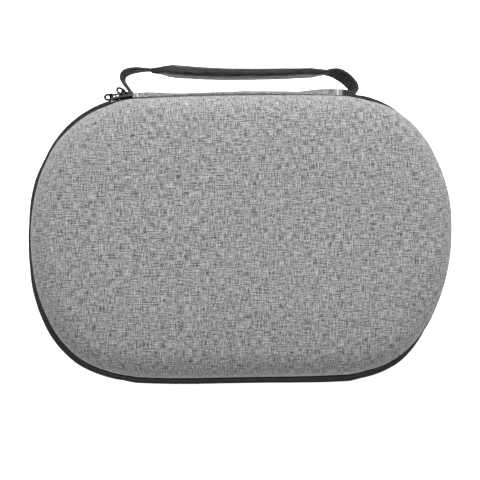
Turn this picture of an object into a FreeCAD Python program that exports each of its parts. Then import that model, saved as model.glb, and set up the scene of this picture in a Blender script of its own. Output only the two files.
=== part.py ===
import FreeCAD, Part
import math
import os

"""Headphone carrying case: two fabric-faced foam shells, a zip round three sides and a carry handle.

Millimetres. +X runs along the case, +Y points to the hinge spine and the handle, and +Z is up out of
the lid. The origin is the centre of the flat underside. Most pieces follow the case's outline, so
they are drawn as a profile (n, z): n is the distance outwards from the shells' rim outline, and z is
the height above the parting plane, for the lid. The base uses the same profiles upside down.
"""

V = FreeCAD.Vector
UP = V(0, 0, 1)

# The case
RIM_HALF_LENGTH = 156.0
RIM_HALF_WIDTH = 106.0
LID_HEIGHT = 58.0
BASE_HEIGHT = 62.0
SPINE_RADIUS = 1500.0
SIDE_RADIUS = 143.0
CORNER_RADIUS = 73.5
DRAFT = math.radians(7.6)
CROWN_RADIUS = 24.0
DOME_SLOPE = math.radians(9.0)
PLATEAU_INSET = 60.0
PARTING_GAP = 0.3

# Layers of a shell, as depths below its outer face
FABRIC = 1.0
FOAM = 4.0
LINING = 0.6
SHELL_DEPTH = FABRIC + FOAM
LINED_DEPTH = SHELL_DEPTH + LINING
BINDING = 0.8
BINDING_HEIGHT = 10.0

# Zip
TAPE = 0.9
TAPE_TOP = 13.0
TAPE_LEAVES_WALL = 7.0
COIL_INNER = 2.3
COIL_OUTER = 4.3
COIL_TOP = 2.6
COIL_GAP = 0.35
TAPE_AT_COIL = 2.85
SEAM_HEIGHT = 11.0
THREAD = 0.5

# Zip sliders: angles are measured round the left corner, from the spine towards the side
SLIDER_LENGTH = 7.6
SLIDER_HALF_WIDTH = 3.4
SLIDER_A_ANGLE = 12.6
SLIDER_B_ANGLE = 6.5
SLIDER_INNER_PLATE = (1.3, 1.9)
SLIDER_OUTER_PLATE = (4.6, 5.5)
BRIDGE_TOP = 8.3
BRIDGE_BAR = 1.1
BRIDGE_HALF_LENGTH = 3.2
BRIDGE_HALF_WIDTH = 1.0
POST_LENGTH = 3.0
POST_THICKNESS = 0.5
LIP_DEPTH = 0.5
LIP_WIDTH = 0.25
PIN_AT = 6.4
PIN_RADIUS = 0.55
PULL_LENGTH = 9.0
PULL_HALF_WIDTH = 2.7
PULL_THICKNESS = 1.3
PULL_WINDOW = 3.6
PULL_BAR = 0.9
PULL_HOLE_RADIUS = 1.0
PULL_A_TILT = 174.0
PULL_B_TILT = 145.0
SLIDERS_COVER_TO = 16.2
STOP_THICKNESS = 0.6
LEFT_STOP_TURN = 0.45
RIGHT_STOP_TURN = 1.8

# Spine hinge
GUSSET_HALF_HEIGHT = 14.0
GUSSET_BULGE = 7.0
GUSSET_FABRIC = 1.6
TACK_X = 75.5
TACK_WIDTH = 1.6
TACK_THICKNESS = 0.5
TACK_OFF_GUSSET = 0.15
TACK_HALF_HEIGHT = 7.0

# Handle
HANDLE_BELOW_PARTING = 12.4
WEBBING_WIDTH = 16.0
WEBBING = 2.4
TAB_ARC = (3.3, 10.8)
TAB_THICKNESS = 8.0
TAB_OFF_TAPE = 0.15
GRIP_LEFT = (-57.0, 130.8)
GRIP_MIDDLE = (3.0, 127.3)
GRIP_RIGHT = (61.0, 128.3)
GRIP_THICKNESS = 4.8
GRIP_WIDTH = 18.4
GRIP_ROUNDING = 2.2
FLANGE_HEIGHT = 2.4
FLANGE_WIDTH = 2.4
CORE_PAST_GRIP = 3.0
LEFT_LOOP = ((-90.4, 133.0), (-88.0, 119.6), (-80.6, 113.2))
LEFT_LOOP_RADII = (9.0, 8.0)
RIGHT_LOOP = ((79.0, 127.9), (92.3, 117.2), (89.9, 112.0))
RIGHT_LOOP_RADII = (12.0, 5.0)

# Inside
TRAY_THICKNESS = 8.0
ISLAND_SIZE = (110.0, 64.0)
ISLAND_HEIGHT = 28.0
ISLAND_RADIUS = 24.0
WELL_SIZE = (86.0, 40.0)
WELL_DEPTH = 20.0
WELL_RADIUS = 14.0
POCKET_HEIGHT = 34.0
POCKET_MESH = 0.8
POCKET_MOUTH_Y = 40.0
POCKET_GAP = 0.4
ELASTIC_HEIGHT = 3.0
ELASTIC_WIDTH = 7.0
POCKET_TAPE_HEIGHT = 5.0
POCKET_TAPE = 0.7

PARTING = BASE_HEIGHT


def corner_centre():
    """Centre of the first-quarter corner arc, tangent inside the spine arc and the side arc."""
    spine = (0.0, RIM_HALF_WIDTH - SPINE_RADIUS)
    side = (RIM_HALF_LENGTH - SIDE_RADIUS, 0.0)
    to_spine = SPINE_RADIUS - CORNER_RADIUS
    to_side = SIDE_RADIUS - CORNER_RADIUS
    dx, dy = side[0] - spine[0], side[1] - spine[1]
    apart = math.hypot(dx, dy)
    along = (apart**2 + to_spine**2 - to_side**2) / (2 * apart)
    across = math.sqrt(to_spine**2 - along**2)
    x = spine[0] + (dx * along + dy * across) / apart
    y = spine[1] + (dy * along - dx * across) / apart
    return x, y


CORNER = corner_centre()
SIDE_TURN = math.degrees(math.atan2(CORNER[1], CORNER[0] - RIM_HALF_LENGTH + SIDE_RADIUS))
SPINE_TURN = math.degrees(math.atan2(CORNER[0], CORNER[1] - RIM_HALF_WIDTH + SPINE_RADIUS))


def arc(x, y, radius, start, end):
    return {"centre": V(x, y, 0), "radius": radius, "start": start, "sweep": end - start}


def outline_arcs():
    """The rim outline as eight tangent arcs by name, anticlockwise; angles in degrees from +X."""
    cx, cy = CORNER
    side_x = RIM_HALF_LENGTH - SIDE_RADIUS
    spine_y = RIM_HALF_WIDTH - SPINE_RADIUS
    turn, lean = SIDE_TURN, SPINE_TURN
    return {
        "right": arc(side_x, 0, SIDE_RADIUS, -turn, turn),
        "spine_right": arc(cx, cy, CORNER_RADIUS, turn, 90 - lean),
        "spine": arc(0, spine_y, SPINE_RADIUS, 90 - lean, 90 + lean),
        "spine_left": arc(-cx, cy, CORNER_RADIUS, 90 + lean, 180 - turn),
        "left": arc(-side_x, 0, SIDE_RADIUS, 180 - turn, 180 + turn),
        "front_left": arc(-cx, -cy, CORNER_RADIUS, 180 + turn, 270 - lean),
        "front": arc(0, -spine_y, SPINE_RADIUS, 270 - lean, 270 + lean),
        "front_right": arc(cx, -cy, CORNER_RADIUS, 270 + lean, 360 - turn),
    }


ARCS = outline_arcs()
ZIP_ARCS = [a for name, a in ARCS.items() if name != "spine"]


def part_of_arc(a, start, end):
    """The stretch of an outline arc between two angles, in degrees from +X."""
    return dict(a, start=start, sweep=end - start)


def left_corner(start, end):
    """A stretch of the left spine corner, by angles from the spine towards the side."""
    return part_of_arc(ARCS["spine_left"], 90 + start, 90 + end)


def right_corner(start, end):
    return part_of_arc(ARCS["spine_right"], 90 - end, 90 - start)


def profile_face(edges, radius):
    """A face in the XZ plane from lines and three-point arcs given as (n, z) points."""
    made = []
    for points in edges:
        ends = [V(radius + n, 0, z) for n, z in points]
        if len(ends) == 2:
            made.append(Part.LineSegment(*ends).toShape())
        else:
            made.append(Part.Arc(*ends).toShape())
    return Part.Face(Part.Wire(made))


def polygon(*points):
    """The edges of a closed profile with straight sides."""
    return [(points[i - 1], points[i]) for i in range(len(points))]


def turned(edges, a):
    """The solid that a profile makes as it follows one outline arc."""
    face = profile_face(edges, a["radius"])
    face.rotate(V(0, 0, 0), UP, a["start"])
    face.translate(a["centre"])
    return face.revolve(a["centre"], UP, a["sweep"])


def fused(solids):
    whole = solids[0].fuse(solids[1:]) if len(solids) > 1 else solids[0]
    return whole


def band(edges, arcs):
    """The solid that a profile makes as it follows several outline arcs."""
    return fused([turned(edges, a) for a in arcs])


def outline_face(n):
    """The face inside the rim outline moved outwards by n."""
    edges = []
    for a in ARCS.values():
        points = []
        for share in (0, 0.5, 1):
            angle = math.radians(a["start"] + share * a["sweep"])
            reach = a["radius"] + n
            points.append(a["centre"] + V(reach * math.cos(angle), reach * math.sin(angle), 0))
        edges.append(Part.Arc(*points).toShape())
    return Part.Face(Part.Wire(edges))


def prism(n, low, high):
    face = outline_face(n)
    face.translate(V(0, 0, low))
    return face.extrude(V(0, 0, high - low))


def wall(z, depth=0.0):
    """The point of the drafted wall at height z and a depth below the outer face."""
    return (-(depth + z * math.sin(DRAFT)) / math.cos(DRAFT), z)


def shell_curve(height, depth):
    """Wall top, crown and dome of the layer at a depth: wall end, crown middle, dome start, dome middle, dome end."""
    rise = math.tan(DOME_SLOPE / 2)
    level = height - (CROWN_RADIUS * math.sin(DOME_SLOPE) + PLATEAU_INSET) * rise
    level -= CROWN_RADIUS * math.cos(DOME_SLOPE)
    crown_n = (-CROWN_RADIUS - math.sin(DRAFT) * level) / (math.cos(DRAFT) - rise * math.sin(DRAFT))
    crown_z = level - crown_n * rise
    dome_radius = (crown_n + PLATEAU_INSET) / math.sin(DOME_SLOPE) + CROWN_RADIUS
    crown = CROWN_RADIUS - depth

    def on_crown(angle):
        return (crown_n + crown * math.cos(angle), crown_z + crown * math.sin(angle))

    def on_dome(slope):
        reach = dome_radius - depth
        return (-PLATEAU_INSET + reach * math.sin(slope), height - dome_radius + reach * math.cos(slope))

    top = math.pi / 2 - DOME_SLOPE
    return (on_crown(DRAFT), on_crown((DRAFT + top) / 2), on_dome(DOME_SLOPE), on_dome(DOME_SLOPE / 2), on_dome(0))


def shell_layer(height, outer, inner):
    """One layer of a shell, from its rim to its top, between two depths below the outer face."""
    out = shell_curve(height, outer)
    back = shell_curve(height, inner)
    edges = [
        (wall(PARTING_GAP, outer), out[0]),
        (out[0], out[1], out[2]),
        (out[2], out[3], out[4]),
        (out[4], back[4]),
        (back[4], back[3], back[2]),
        (back[2], back[1], back[0]),
        (back[0], wall(PARTING_GAP, inner)),
        (wall(PARTING_GAP, inner), wall(PARTING_GAP, outer)),
    ]
    plate = prism(-PLATEAU_INSET, height - inner, height - outer)
    return fused([turned(edges, a) for a in ARCS.values()] + [plate])


def wall_strip(low, high, outer, inner):
    """A profile lying along the drafted wall, between two heights and two depths."""
    return polygon(wall(low, outer), wall(high, outer), wall(high, inner), wall(low, inner))


def tape_profile():
    """Zip tape: flat on the wall, then standing off it down to the coil."""
    return polygon(
        wall(TAPE_TOP, -TAPE),
        wall(TAPE_TOP, 0),
        wall(TAPE_LEAVES_WALL, 0),
        (TAPE_AT_COIL, COIL_TOP),
        (TAPE_AT_COIL + TAPE, COIL_TOP),
        wall(TAPE_LEAVES_WALL + 1, -TAPE),
    )


def coil_profile():
    return polygon(
        (COIL_INNER, COIL_GAP), (COIL_OUTER, COIL_GAP), (COIL_OUTER, COIL_TOP), (COIL_INNER, COIL_TOP)
    )


def seam_profile():
    low, high = SEAM_HEIGHT - THREAD / 2, SEAM_HEIGHT + THREAD / 2
    return wall_strip(low, high, -TAPE - THREAD, -TAPE)


def gusset_profile(inner, outer):
    """A crescent across the spine between the two shells; inner and outer are its bulges."""
    end, start = wall(GUSSET_HALF_HEIGHT), wall(GUSSET_HALF_HEIGHT - GUSSET_FABRIC)
    on_lid = [(n + PARTING_GAP, z) for n, z in (end, start)]
    on_base = [(n, -z) for n, z in (end, start)]
    return [
        (on_lid[0], (outer, 0), on_base[0]),
        (on_base[0], on_base[1]),
        (on_base[1], (inner, 0), on_lid[1]),
        (on_lid[1], on_lid[0]),
    ]


def tack_profile():
    """A thin strip of thread that lies on the middle of the gusset."""
    top = TACK_HALF_HEIGHT
    bulge = GUSSET_BULGE - wall(GUSSET_HALF_HEIGHT)[0]
    radius = (bulge**2 + GUSSET_HALF_HEIGHT**2) / (2 * bulge)
    centre = GUSSET_BULGE - radius

    def at(reach, angle):
        return (centre + reach * math.cos(angle), reach * math.sin(angle))

    radius += TACK_OFF_GUSSET
    turn = math.asin(top / radius)
    far = radius + TACK_THICKNESS
    return [
        (at(radius, -turn), at(radius, 0), at(radius, turn)),
        (at(radius, turn), at(far, turn)),
        (at(far, turn), at(far, 0), at(far, -turn)),
        (at(far, -turn), at(radius, -turn)),
    ]


def over_parting(shape):
    """A piece of the lid, or one drawn about the parting plane, in its place."""
    placed = shape.copy()
    placed.translate(V(0, 0, PARTING))
    return placed


def under_parting(shape):
    """A piece drawn for the lid, turned over for the base."""
    return over_parting(shape.mirror(V(0, 0, 0), UP))


def box(x_range, y_range, z_range):
    low = V(x_range[0], y_range[0], z_range[0])
    size = [r[1] - r[0] for r in (x_range, y_range, z_range)]
    return Part.makeBox(*size, low)


def on_track(shape, angle):
    """A piece drawn with +X along the track to the right and +Y outwards, at an angle round the left corner."""
    placed = shape.copy()
    placed.translate(V(0, CORNER_RADIUS, 0))
    placed.rotate(V(0, 0, 0), UP, angle)
    placed.translate(V(-CORNER[0], CORNER[1], PARTING))
    return placed


def slider_body():
    """Zip slider: plates inside and outside the coil, a post between them, lips and the bridge for the pull."""
    half, width = SLIDER_LENGTH / 2, SLIDER_HALF_WIDTH
    inner, outer = SLIDER_INNER_PLATE, SLIDER_OUTER_PLATE
    plates = [box((-half, half), plate, (-width, width)) for plate in (inner, outer)]
    post = box((-POST_LENGTH / 2, POST_LENGTH / 2), (inner[0], outer[1]), (-POST_THICKNESS / 2, POST_THICKNESS / 2))
    lip = (outer[0] - LIP_DEPTH, outer[1])
    lips = [box((-half, half), lip, edge) for edge in ((-width, LIP_WIDTH - width), (width - LIP_WIDTH, width))]
    reach, bar = BRIDGE_HALF_LENGTH, BRIDGE_BAR
    bridge = box((-reach, reach), (outer[0], BRIDGE_TOP), (-BRIDGE_HALF_WIDTH, BRIDGE_HALF_WIDTH))
    window = box((-reach + bar, reach - bar), (outer[1], BRIDGE_TOP - bar), (-width, width))
    corners = [e for e in bridge.Edges if is_outer_bridge_edge(e)]
    bridge = bridge.makeFillet(BRIDGE_BAR, corners).cut(window)
    return fused(plates + [post, bridge] + lips).removeSplitter()


def is_outer_bridge_edge(edge):
    """The two edges across the bridge's outer corners."""
    at = edge.CenterOfMass
    return abs(at.y - BRIDGE_TOP) < 1e-6 and abs(abs(at.x) - BRIDGE_HALF_LENGTH) < 1e-6


def slider_pull(tilt):
    """Zip pull: a flat tab with a window whose end bar is the pin under the bridge."""
    wide, thick = PULL_HALF_WIDTH, PULL_THICKNESS / 2
    pin = Part.makeCylinder(PIN_RADIUS, 2 * wide, V(0, 0, -wide))
    tab = box((0, PULL_LENGTH), (-thick, thick), (-wide, wide))
    ends = [e for e in tab.Edges if abs(e.CenterOfMass.x - PULL_LENGTH) < 1e-6 and abs(e.CenterOfMass.y) < 1e-6]
    tab = tab.makeFillet(wide - 0.4, ends)
    window = box((-1, PULL_WINDOW), (-2 * thick, 2 * thick), (PULL_BAR - wide, wide - PULL_BAR))
    hole = Part.makeCylinder(PULL_HOLE_RADIUS, 4 * thick, V(PULL_LENGTH - wide, -2 * thick, 0), V(0, 1, 0))
    pull = tab.cut(window).fuse(pin).cut(hole)
    pull.rotate(V(0, 0, 0), UP, tilt)
    pull.translate(V(0, PIN_AT, 0))
    return pull


def rounded_path(points, radii):
    """A level wire through points, with an arc of the given radius at each inner point."""
    edges = []
    start = V(*points[0], 0)
    for i, radius in enumerate(radii, 1):
        before, at, after = V(*points[i - 1], 0), V(*points[i], 0), V(*points[i + 1], 0)
        back, ahead = (before - at).normalize(), (after - at).normalize()
        half = back.getAngle(ahead) / 2
        reach = radius / math.tan(half)
        first, last = at + back * reach, at + ahead * reach
        middle = (back + ahead).normalize()
        inside = at + middle * (radius / math.sin(half) - radius)
        edges.append(Part.LineSegment(start, first).toShape())
        edges.append(Part.Arc(first, inside, last).toShape())
        start = last
    edges.append(Part.LineSegment(start, V(*points[-1], 0)).toShape())
    return Part.Wire(edges)


def strap_along(path, width, thickness):
    """Webbing on edge: a strap of a width along Z that follows a level path, at the handle's height."""
    start = path.Edges[0].valueAt(path.Edges[0].FirstParameter)
    heading = path.Edges[0].tangentAt(path.Edges[0].FirstParameter)
    across = UP.cross(heading).normalize() * (thickness / 2)
    up = UP * (width / 2)
    ring = [start + across + up, start - across + up, start - across - up, start + across - up]
    section = Part.Wire(Part.makePolygon(ring + [ring[0]]).Edges)
    strap = path.makePipeShell([section], True, False)
    strap.translate(V(0, 0, PARTING - HANDLE_BELOW_PARTING))
    return strap


def grip_arc():
    return Part.Arc(V(*GRIP_LEFT, 0), V(*GRIP_MIDDLE, 0), V(*GRIP_RIGHT, 0))


def grip_end(side):
    """Where the webbing core leaves the grip, and its heading there."""
    curve = grip_arc().toShape()
    at = curve.FirstParameter if side < 0 else curve.LastParameter
    heading = curve.tangentAt(at).normalize() * side
    point = curve.valueAt(at) + heading * CORE_PAST_GRIP
    return point, heading


def grip_core():
    """The webbing inside the grip, a little longer than the grip."""
    left, right = grip_end(-1)[0], grip_end(1)[0]
    curve = grip_arc().toShape()
    first, last = curve.valueAt(curve.FirstParameter), curve.valueAt(curve.LastParameter)
    edges = [Part.LineSegment(left, first).toShape(), curve, Part.LineSegment(last, right).toShape()]
    return strap_along(Part.Wire(edges), WEBBING_WIDTH, WEBBING)


def grip_section(half_thickness, half_width, rounding, offset=0.0):
    """A rounded rectangle across the grip's left end, shifted outwards by offset."""
    block = Part.makeBox(1, 2 * half_thickness, 2 * half_width, V(0, offset - half_thickness, -half_width))
    along = [e for e in block.Edges if abs(e.CenterOfMass.x - 0.5) < 1e-6]
    if rounding:
        block = block.makeFillet(rounding, along)
    face = next(f for f in block.Faces if abs(f.CenterOfMass.x) < 1e-6)
    return face.OuterWire


def along_grip(section):
    """A solid that follows the grip's curve with a section drawn at x = 0."""
    curve = grip_arc().toShape()
    heading = curve.tangentAt(curve.FirstParameter)
    placed = section.copy()
    placed.rotate(V(0, 0, 0), UP, math.degrees(math.atan2(heading.y, heading.x)))
    placed.translate(V(*GRIP_LEFT, 0))
    solid = Part.Wire([curve]).makePipeShell([placed], True, False)
    solid.translate(V(0, 0, PARTING - HANDLE_BELOW_PARTING))
    return solid


def grip_wrap():
    """The folded cover of the grip, with its two edges sewn together in a flange on the outer side."""
    body = along_grip(grip_section(GRIP_THICKNESS / 2, GRIP_WIDTH / 2, GRIP_ROUNDING))
    centre = GRIP_THICKNESS / 2 + FLANGE_HEIGHT / 2 - 0.5
    flange = along_grip(grip_section(FLANGE_HEIGHT / 2 + 0.5, FLANGE_WIDTH / 2, 0.8, centre))
    return body.fuse(flange).cut(grip_core())


def grip_threads():
    """The sewing thread on both sides of the flange."""
    centre = GRIP_THICKNESS / 2 + FLANGE_HEIGHT / 2
    threads = []
    for side in (-1, 1):
        section = grip_section(THREAD / 2, THREAD / 2, 0, centre)
        section.translate(V(0, 0, side * (FLANGE_WIDTH + THREAD) / 2))
        threads.append(along_grip(section))
    return Part.Compound(threads)


def loop(side, corners, radii):
    """One free end of the webbing, from the grip round to the sewn tab."""
    start = grip_end(side)[0]
    points = [(start.x, start.y)] + list(corners)
    return strap_along(rounded_path(points, radii), WEBBING_WIDTH, WEBBING)


def tab(stretch):
    """The folded end of the webbing, a stack of layers sewn over the tape just below the zip."""
    low = HANDLE_BELOW_PARTING - WEBBING_WIDTH / 2
    high = low + WEBBING_WIDTH
    inner, outer = -TAPE, -TAPE - TAB_THICKNESS
    over_tape = TAPE_AT_COIL + TAPE + TAB_OFF_TAPE
    profile = polygon(
        (over_tape, low),
        wall(low, outer),
        wall(high, outer),
        wall(high, inner),
        wall(TAPE_LEAVES_WALL + 1, inner),
    )
    return under_parting(turned(profile, stretch))


def rounded_block(size, radius, low, high):
    block = box((-size[0] / 2, size[0] / 2), (-size[1] / 2, size[1] / 2), (low, high))
    upright = [e for e in block.Edges if abs(e.CenterOfMass.z - (low + high) / 2) < 1e-6]
    return block.makeFillet(radius, upright)


def tray_pad():
    """The foam pad on the floor of the base."""
    outer, inner = LINED_DEPTH, LINED_DEPTH + TRAY_THICKNESS
    out, back = shell_curve(BASE_HEIGHT, outer), shell_curve(BASE_HEIGHT, inner)
    edges = [
        (out[2], out[3], out[4]),
        (out[4], back[4]),
        (back[4], back[3], back[2]),
        (back[2], out[2]),
    ]
    plate = prism(-PLATEAU_INSET, BASE_HEIGHT - inner, BASE_HEIGHT - outer)
    return under_parting(fused([turned(edges, a) for a in ARCS.values()] + [plate]))


def tray_island():
    """The raised block in the middle of the tray, with a well for a cable."""
    floor = LINED_DEPTH + TRAY_THICKNESS
    top = floor + ISLAND_HEIGHT
    block = rounded_block(ISLAND_SIZE, ISLAND_RADIUS, floor, top)
    well = rounded_block(WELL_SIZE, WELL_RADIUS, top - WELL_DEPTH, top + 1)
    return block.cut(well)


def pocket_region(n):
    """The part of the lid's inside that the pocket covers, in plan."""
    reach = RIM_HALF_LENGTH
    front = box((-reach, reach), (-reach, POCKET_MOUTH_Y), (0, LID_HEIGHT))
    return prism(n, 0, LID_HEIGHT).common(front)


def pocket_mesh():
    inset = wall(POCKET_HEIGHT, LINED_DEPTH + POCKET_GAP)[0]
    slab = box((-200, 200), (-200, 200), (POCKET_HEIGHT, POCKET_HEIGHT + POCKET_MESH))
    return over_parting(pocket_region(inset).common(slab))


def pocket_elastic():
    """The elastic band along the pocket's mouth."""
    inset = wall(POCKET_HEIGHT, LINED_DEPTH + POCKET_GAP + 3 * POCKET_TAPE)[0]
    mouth = (POCKET_MOUTH_Y - ELASTIC_WIDTH, POCKET_MOUTH_Y)
    strip = box((-200, 200), mouth, (POCKET_HEIGHT - ELASTIC_HEIGHT / 2, POCKET_HEIGHT))
    return over_parting(pocket_region(inset).common(strip))


def pocket_tape():
    """The tape that sews the edge of the mesh to the lining."""
    low = POCKET_HEIGHT - POCKET_TAPE_HEIGHT
    strip = wall_strip(low, POCKET_HEIGHT, LINED_DEPTH, LINED_DEPTH + POCKET_TAPE)
    arcs = [ARCS["front_left"], ARCS["front"], ARCS["front_right"]]
    return over_parting(band(strip, arcs))


def lid_tape():
    """The lid's half of the zip tape; beside the parked sliders only its sewn edge is there."""
    sewn = wall_strip(TAPE_LEAVES_WALL, TAPE_TOP, -TAPE, 0)
    arcs = [a for a in ZIP_ARCS if a is not ARCS["spine_left"]]
    beyond = left_corner(SLIDERS_COVER_TO, 90 - SIDE_TURN)
    beside = left_corner(SPINE_TURN, SLIDERS_COVER_TO)
    whole = [turned(tape_profile(), a) for a in arcs + [beyond]]
    return over_parting(fused(whole + [turned(sewn, beside)]))


def lid_coil():
    arcs = [a for a in ZIP_ARCS if a is not ARCS["spine_left"]]
    return over_parting(band(coil_profile(), arcs + [left_corner(SLIDERS_COVER_TO, 90 - SIDE_TURN)]))


def end_stops():
    """The stop at each end of the zip, clamped over the base's half of the coil."""
    low, high = -COIL_TOP - 0.4, -COIL_GAP
    clamp = polygon(
        (COIL_OUTER, low), (COIL_OUTER + STOP_THICKNESS, low), (COIL_OUTER + STOP_THICKNESS, high), (COIL_OUTER, high)
    )
    left = left_corner(SPINE_TURN, SPINE_TURN + LEFT_STOP_TURN)
    right = right_corner(SPINE_TURN, SPINE_TURN + RIGHT_STOP_TURN)
    ends = [left, right]
    return over_parting(Part.Compound([turned(clamp, a) for a in ends]))


def gusset_tacks():
    """The rows of thread that fasten both ends of the gusset."""
    centre = ARCS["spine"]
    half = math.degrees(TACK_WIDTH / 2 / SPINE_RADIUS)
    at = math.degrees(math.asin(TACK_X / SPINE_RADIUS))
    stretches = [part_of_arc(centre, 90 + side * at - half, 90 + side * at + half) for side in (-1, 1)]
    return over_parting(Part.Compound([turned(tack_profile(), a) for a in stretches]))


def pieces():
    """Every piece of the case by its node's name."""
    every = list(ARCS.values())
    binding = wall_strip(PARTING_GAP, BINDING_HEIGHT, LINED_DEPTH, LINED_DEPTH + BINDING)
    layers = {
        "fabric": (0, FABRIC),
        "shell": (FABRIC, SHELL_DEPTH),
        "lining": (SHELL_DEPTH, LINED_DEPTH),
    }
    made = {}
    for name, (outer, inner) in layers.items():
        made["lid_" + name] = over_parting(shell_layer(LID_HEIGHT, outer, inner))
        made["base_" + name] = under_parting(shell_layer(BASE_HEIGHT, outer, inner))
    made["lid_binding"] = over_parting(band(binding, every))
    made["base_binding"] = under_parting(band(binding, every))
    made["lid_zip_tape"] = lid_tape()
    made["base_zip_tape"] = under_parting(band(tape_profile(), ZIP_ARCS))
    made["lid_zip_coil"] = lid_coil()
    made["base_zip_coil"] = under_parting(band(coil_profile(), ZIP_ARCS))
    made["lid_zip_seam"] = over_parting(band(seam_profile(), ZIP_ARCS))
    clear = [a for a in ZIP_ARCS if a not in (ARCS["spine_left"], ARCS["spine_right"])]
    past_tab = TAB_ARC[1]
    clear += [left_corner(past_tab, 90 - SIDE_TURN), right_corner(past_tab, 90 - SIDE_TURN)]
    made["base_zip_seam"] = under_parting(band(seam_profile(), clear))
    made["zip_end_stops"] = end_stops()
    for letter, angle, tilt in (("a", SLIDER_A_ANGLE, PULL_A_TILT), ("b", SLIDER_B_ANGLE, PULL_B_TILT)):
        made["zip_slider_" + letter] = on_track(slider_body(), angle)
        made["zip_pull_" + letter] = on_track(slider_pull(tilt), angle)
    gusset = gusset_profile(GUSSET_BULGE - GUSSET_FABRIC, GUSSET_BULGE)
    made["spine_gusset"] = over_parting(turned(gusset, ARCS["spine"]))
    made["gusset_tacks"] = gusset_tacks()
    made["strap_tab_left"] = tab(left_corner(*TAB_ARC))
    made["strap_tab_right"] = tab(right_corner(*TAB_ARC))
    made["strap_loop_left"] = loop(-1, LEFT_LOOP, LEFT_LOOP_RADII)
    made["strap_loop_right"] = loop(1, RIGHT_LOOP, RIGHT_LOOP_RADII)
    made["grip_core"] = grip_core()
    made["grip_wrap"] = grip_wrap()
    made["grip_stitching"] = grip_threads()
    made["tray_pad"] = tray_pad()
    made["tray_island"] = tray_island()
    made["pocket_mesh"] = pocket_mesh()
    made["pocket_elastic"] = pocket_elastic()
    made["pocket_tape"] = pocket_tape()
    return made


os.makedirs("parts", exist_ok=True)
for node, shape in pieces().items():
    shape.exportStep("parts/" + node + ".step")
    volume = sum(s.Volume for s in shape.Solids)
    print(f"{node}: {len(shape.Solids)} solids, valid {shape.isValid()}, {volume / 1000:.2f} cm3")
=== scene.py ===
import math

import bmesh
import bpy
import numpy as np
from mathutils import Matrix, Vector, noise


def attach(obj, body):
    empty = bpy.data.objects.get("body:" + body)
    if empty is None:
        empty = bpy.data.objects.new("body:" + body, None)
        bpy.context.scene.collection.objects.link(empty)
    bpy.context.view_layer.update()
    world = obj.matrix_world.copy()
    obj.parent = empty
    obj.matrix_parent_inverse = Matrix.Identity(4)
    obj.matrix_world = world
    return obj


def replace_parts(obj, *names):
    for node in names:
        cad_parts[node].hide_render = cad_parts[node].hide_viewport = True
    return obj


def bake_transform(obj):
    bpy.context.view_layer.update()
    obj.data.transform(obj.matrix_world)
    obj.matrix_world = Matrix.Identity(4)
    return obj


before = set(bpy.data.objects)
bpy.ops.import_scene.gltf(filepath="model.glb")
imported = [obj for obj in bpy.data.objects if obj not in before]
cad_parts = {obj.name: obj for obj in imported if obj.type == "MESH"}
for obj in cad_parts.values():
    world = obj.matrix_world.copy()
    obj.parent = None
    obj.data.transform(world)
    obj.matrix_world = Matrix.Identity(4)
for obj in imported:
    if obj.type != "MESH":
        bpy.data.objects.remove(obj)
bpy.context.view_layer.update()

# Sizes are in millimetres, as in the CAD, and become metres when a mesh is made.
MM = 0.001
PARTING = 62.0
LID_HEIGHT = 58.0
BASE_HEIGHT = 62.0
RIM_HALF_LENGTH = 156.0
RIM_HALF_WIDTH = 106.0
SPINE_RADIUS = 1500.0
SIDE_RADIUS = 143.0
CORNER_RADIUS = 73.5
DRAFT = math.radians(7.6)
CROWN_RADIUS = 24.0
DOME_SLOPE = math.radians(9.0)
PLATEAU_INSET = 60.0
PARTING_GAP = 0.3
FABRIC = 1.0
SHELL_DEPTH = 5.0
LINED_DEPTH = 5.6
TAPE = 0.9
HANDLE_Z = PARTING - 12.4
WEBBING_WIDTH = 16.0
WEBBING = 2.4


# ---------------------------------------------------------------- outline and profiles


def corner_centre():
    spine_y, side_x = RIM_HALF_WIDTH - SPINE_RADIUS, RIM_HALF_LENGTH - SIDE_RADIUS
    to_spine, to_side = SPINE_RADIUS - CORNER_RADIUS, SIDE_RADIUS - CORNER_RADIUS
    apart = math.hypot(side_x, spine_y)
    along = (apart**2 + to_spine**2 - to_side**2) / (2 * apart)
    across = math.sqrt(to_spine**2 - along**2)
    x = (side_x * along - spine_y * across) / apart
    y = spine_y - (spine_y * along + side_x * across) / apart
    return x, y


CORNER = corner_centre()
SIDE_TURN = math.degrees(math.atan2(CORNER[1], CORNER[0] - RIM_HALF_LENGTH + SIDE_RADIUS))
SPINE_TURN = math.degrees(math.atan2(CORNER[0], CORNER[1] - RIM_HALF_WIDTH + SPINE_RADIUS))


def outline_arcs():
    """The rim outline as tangent arcs, anticlockwise from the right: centre, radius, start and end angle."""
    cx, cy = CORNER
    side_x, spine_y = RIM_HALF_LENGTH - SIDE_RADIUS, RIM_HALF_WIDTH - SPINE_RADIUS
    turn, lean = SIDE_TURN, SPINE_TURN
    return {
        "right": (side_x, 0, SIDE_RADIUS, -turn, turn),
        "spine_right": (cx, cy, CORNER_RADIUS, turn, 90 - lean),
        "spine": (0, spine_y, SPINE_RADIUS, 90 - lean, 90 + lean),
        "spine_left": (-cx, cy, CORNER_RADIUS, 90 + lean, 180 - turn),
        "left": (-side_x, 0, SIDE_RADIUS, 180 - turn, 180 + turn),
        "front_left": (-cx, -cy, CORNER_RADIUS, 180 + turn, 270 - lean),
        "front": (0, -spine_y, SPINE_RADIUS, 270 - lean, 270 + lean),
        "front_right": (cx, -cy, CORNER_RADIUS, 270 + lean, 360 - turn),
    }


ARCS = outline_arcs()
FRONT_ARCS = ("left", "front_left", "front", "front_right", "right")


def left_corner(start, end):
    x, y, radius = ARCS["spine_left"][:3]
    return (x, y, radius, 90 + start, 90 + end)


def right_corner(start, end):
    x, y, radius = ARCS["spine_right"][:3]
    return (x, y, radius, 90 - end, 90 - start)


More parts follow.
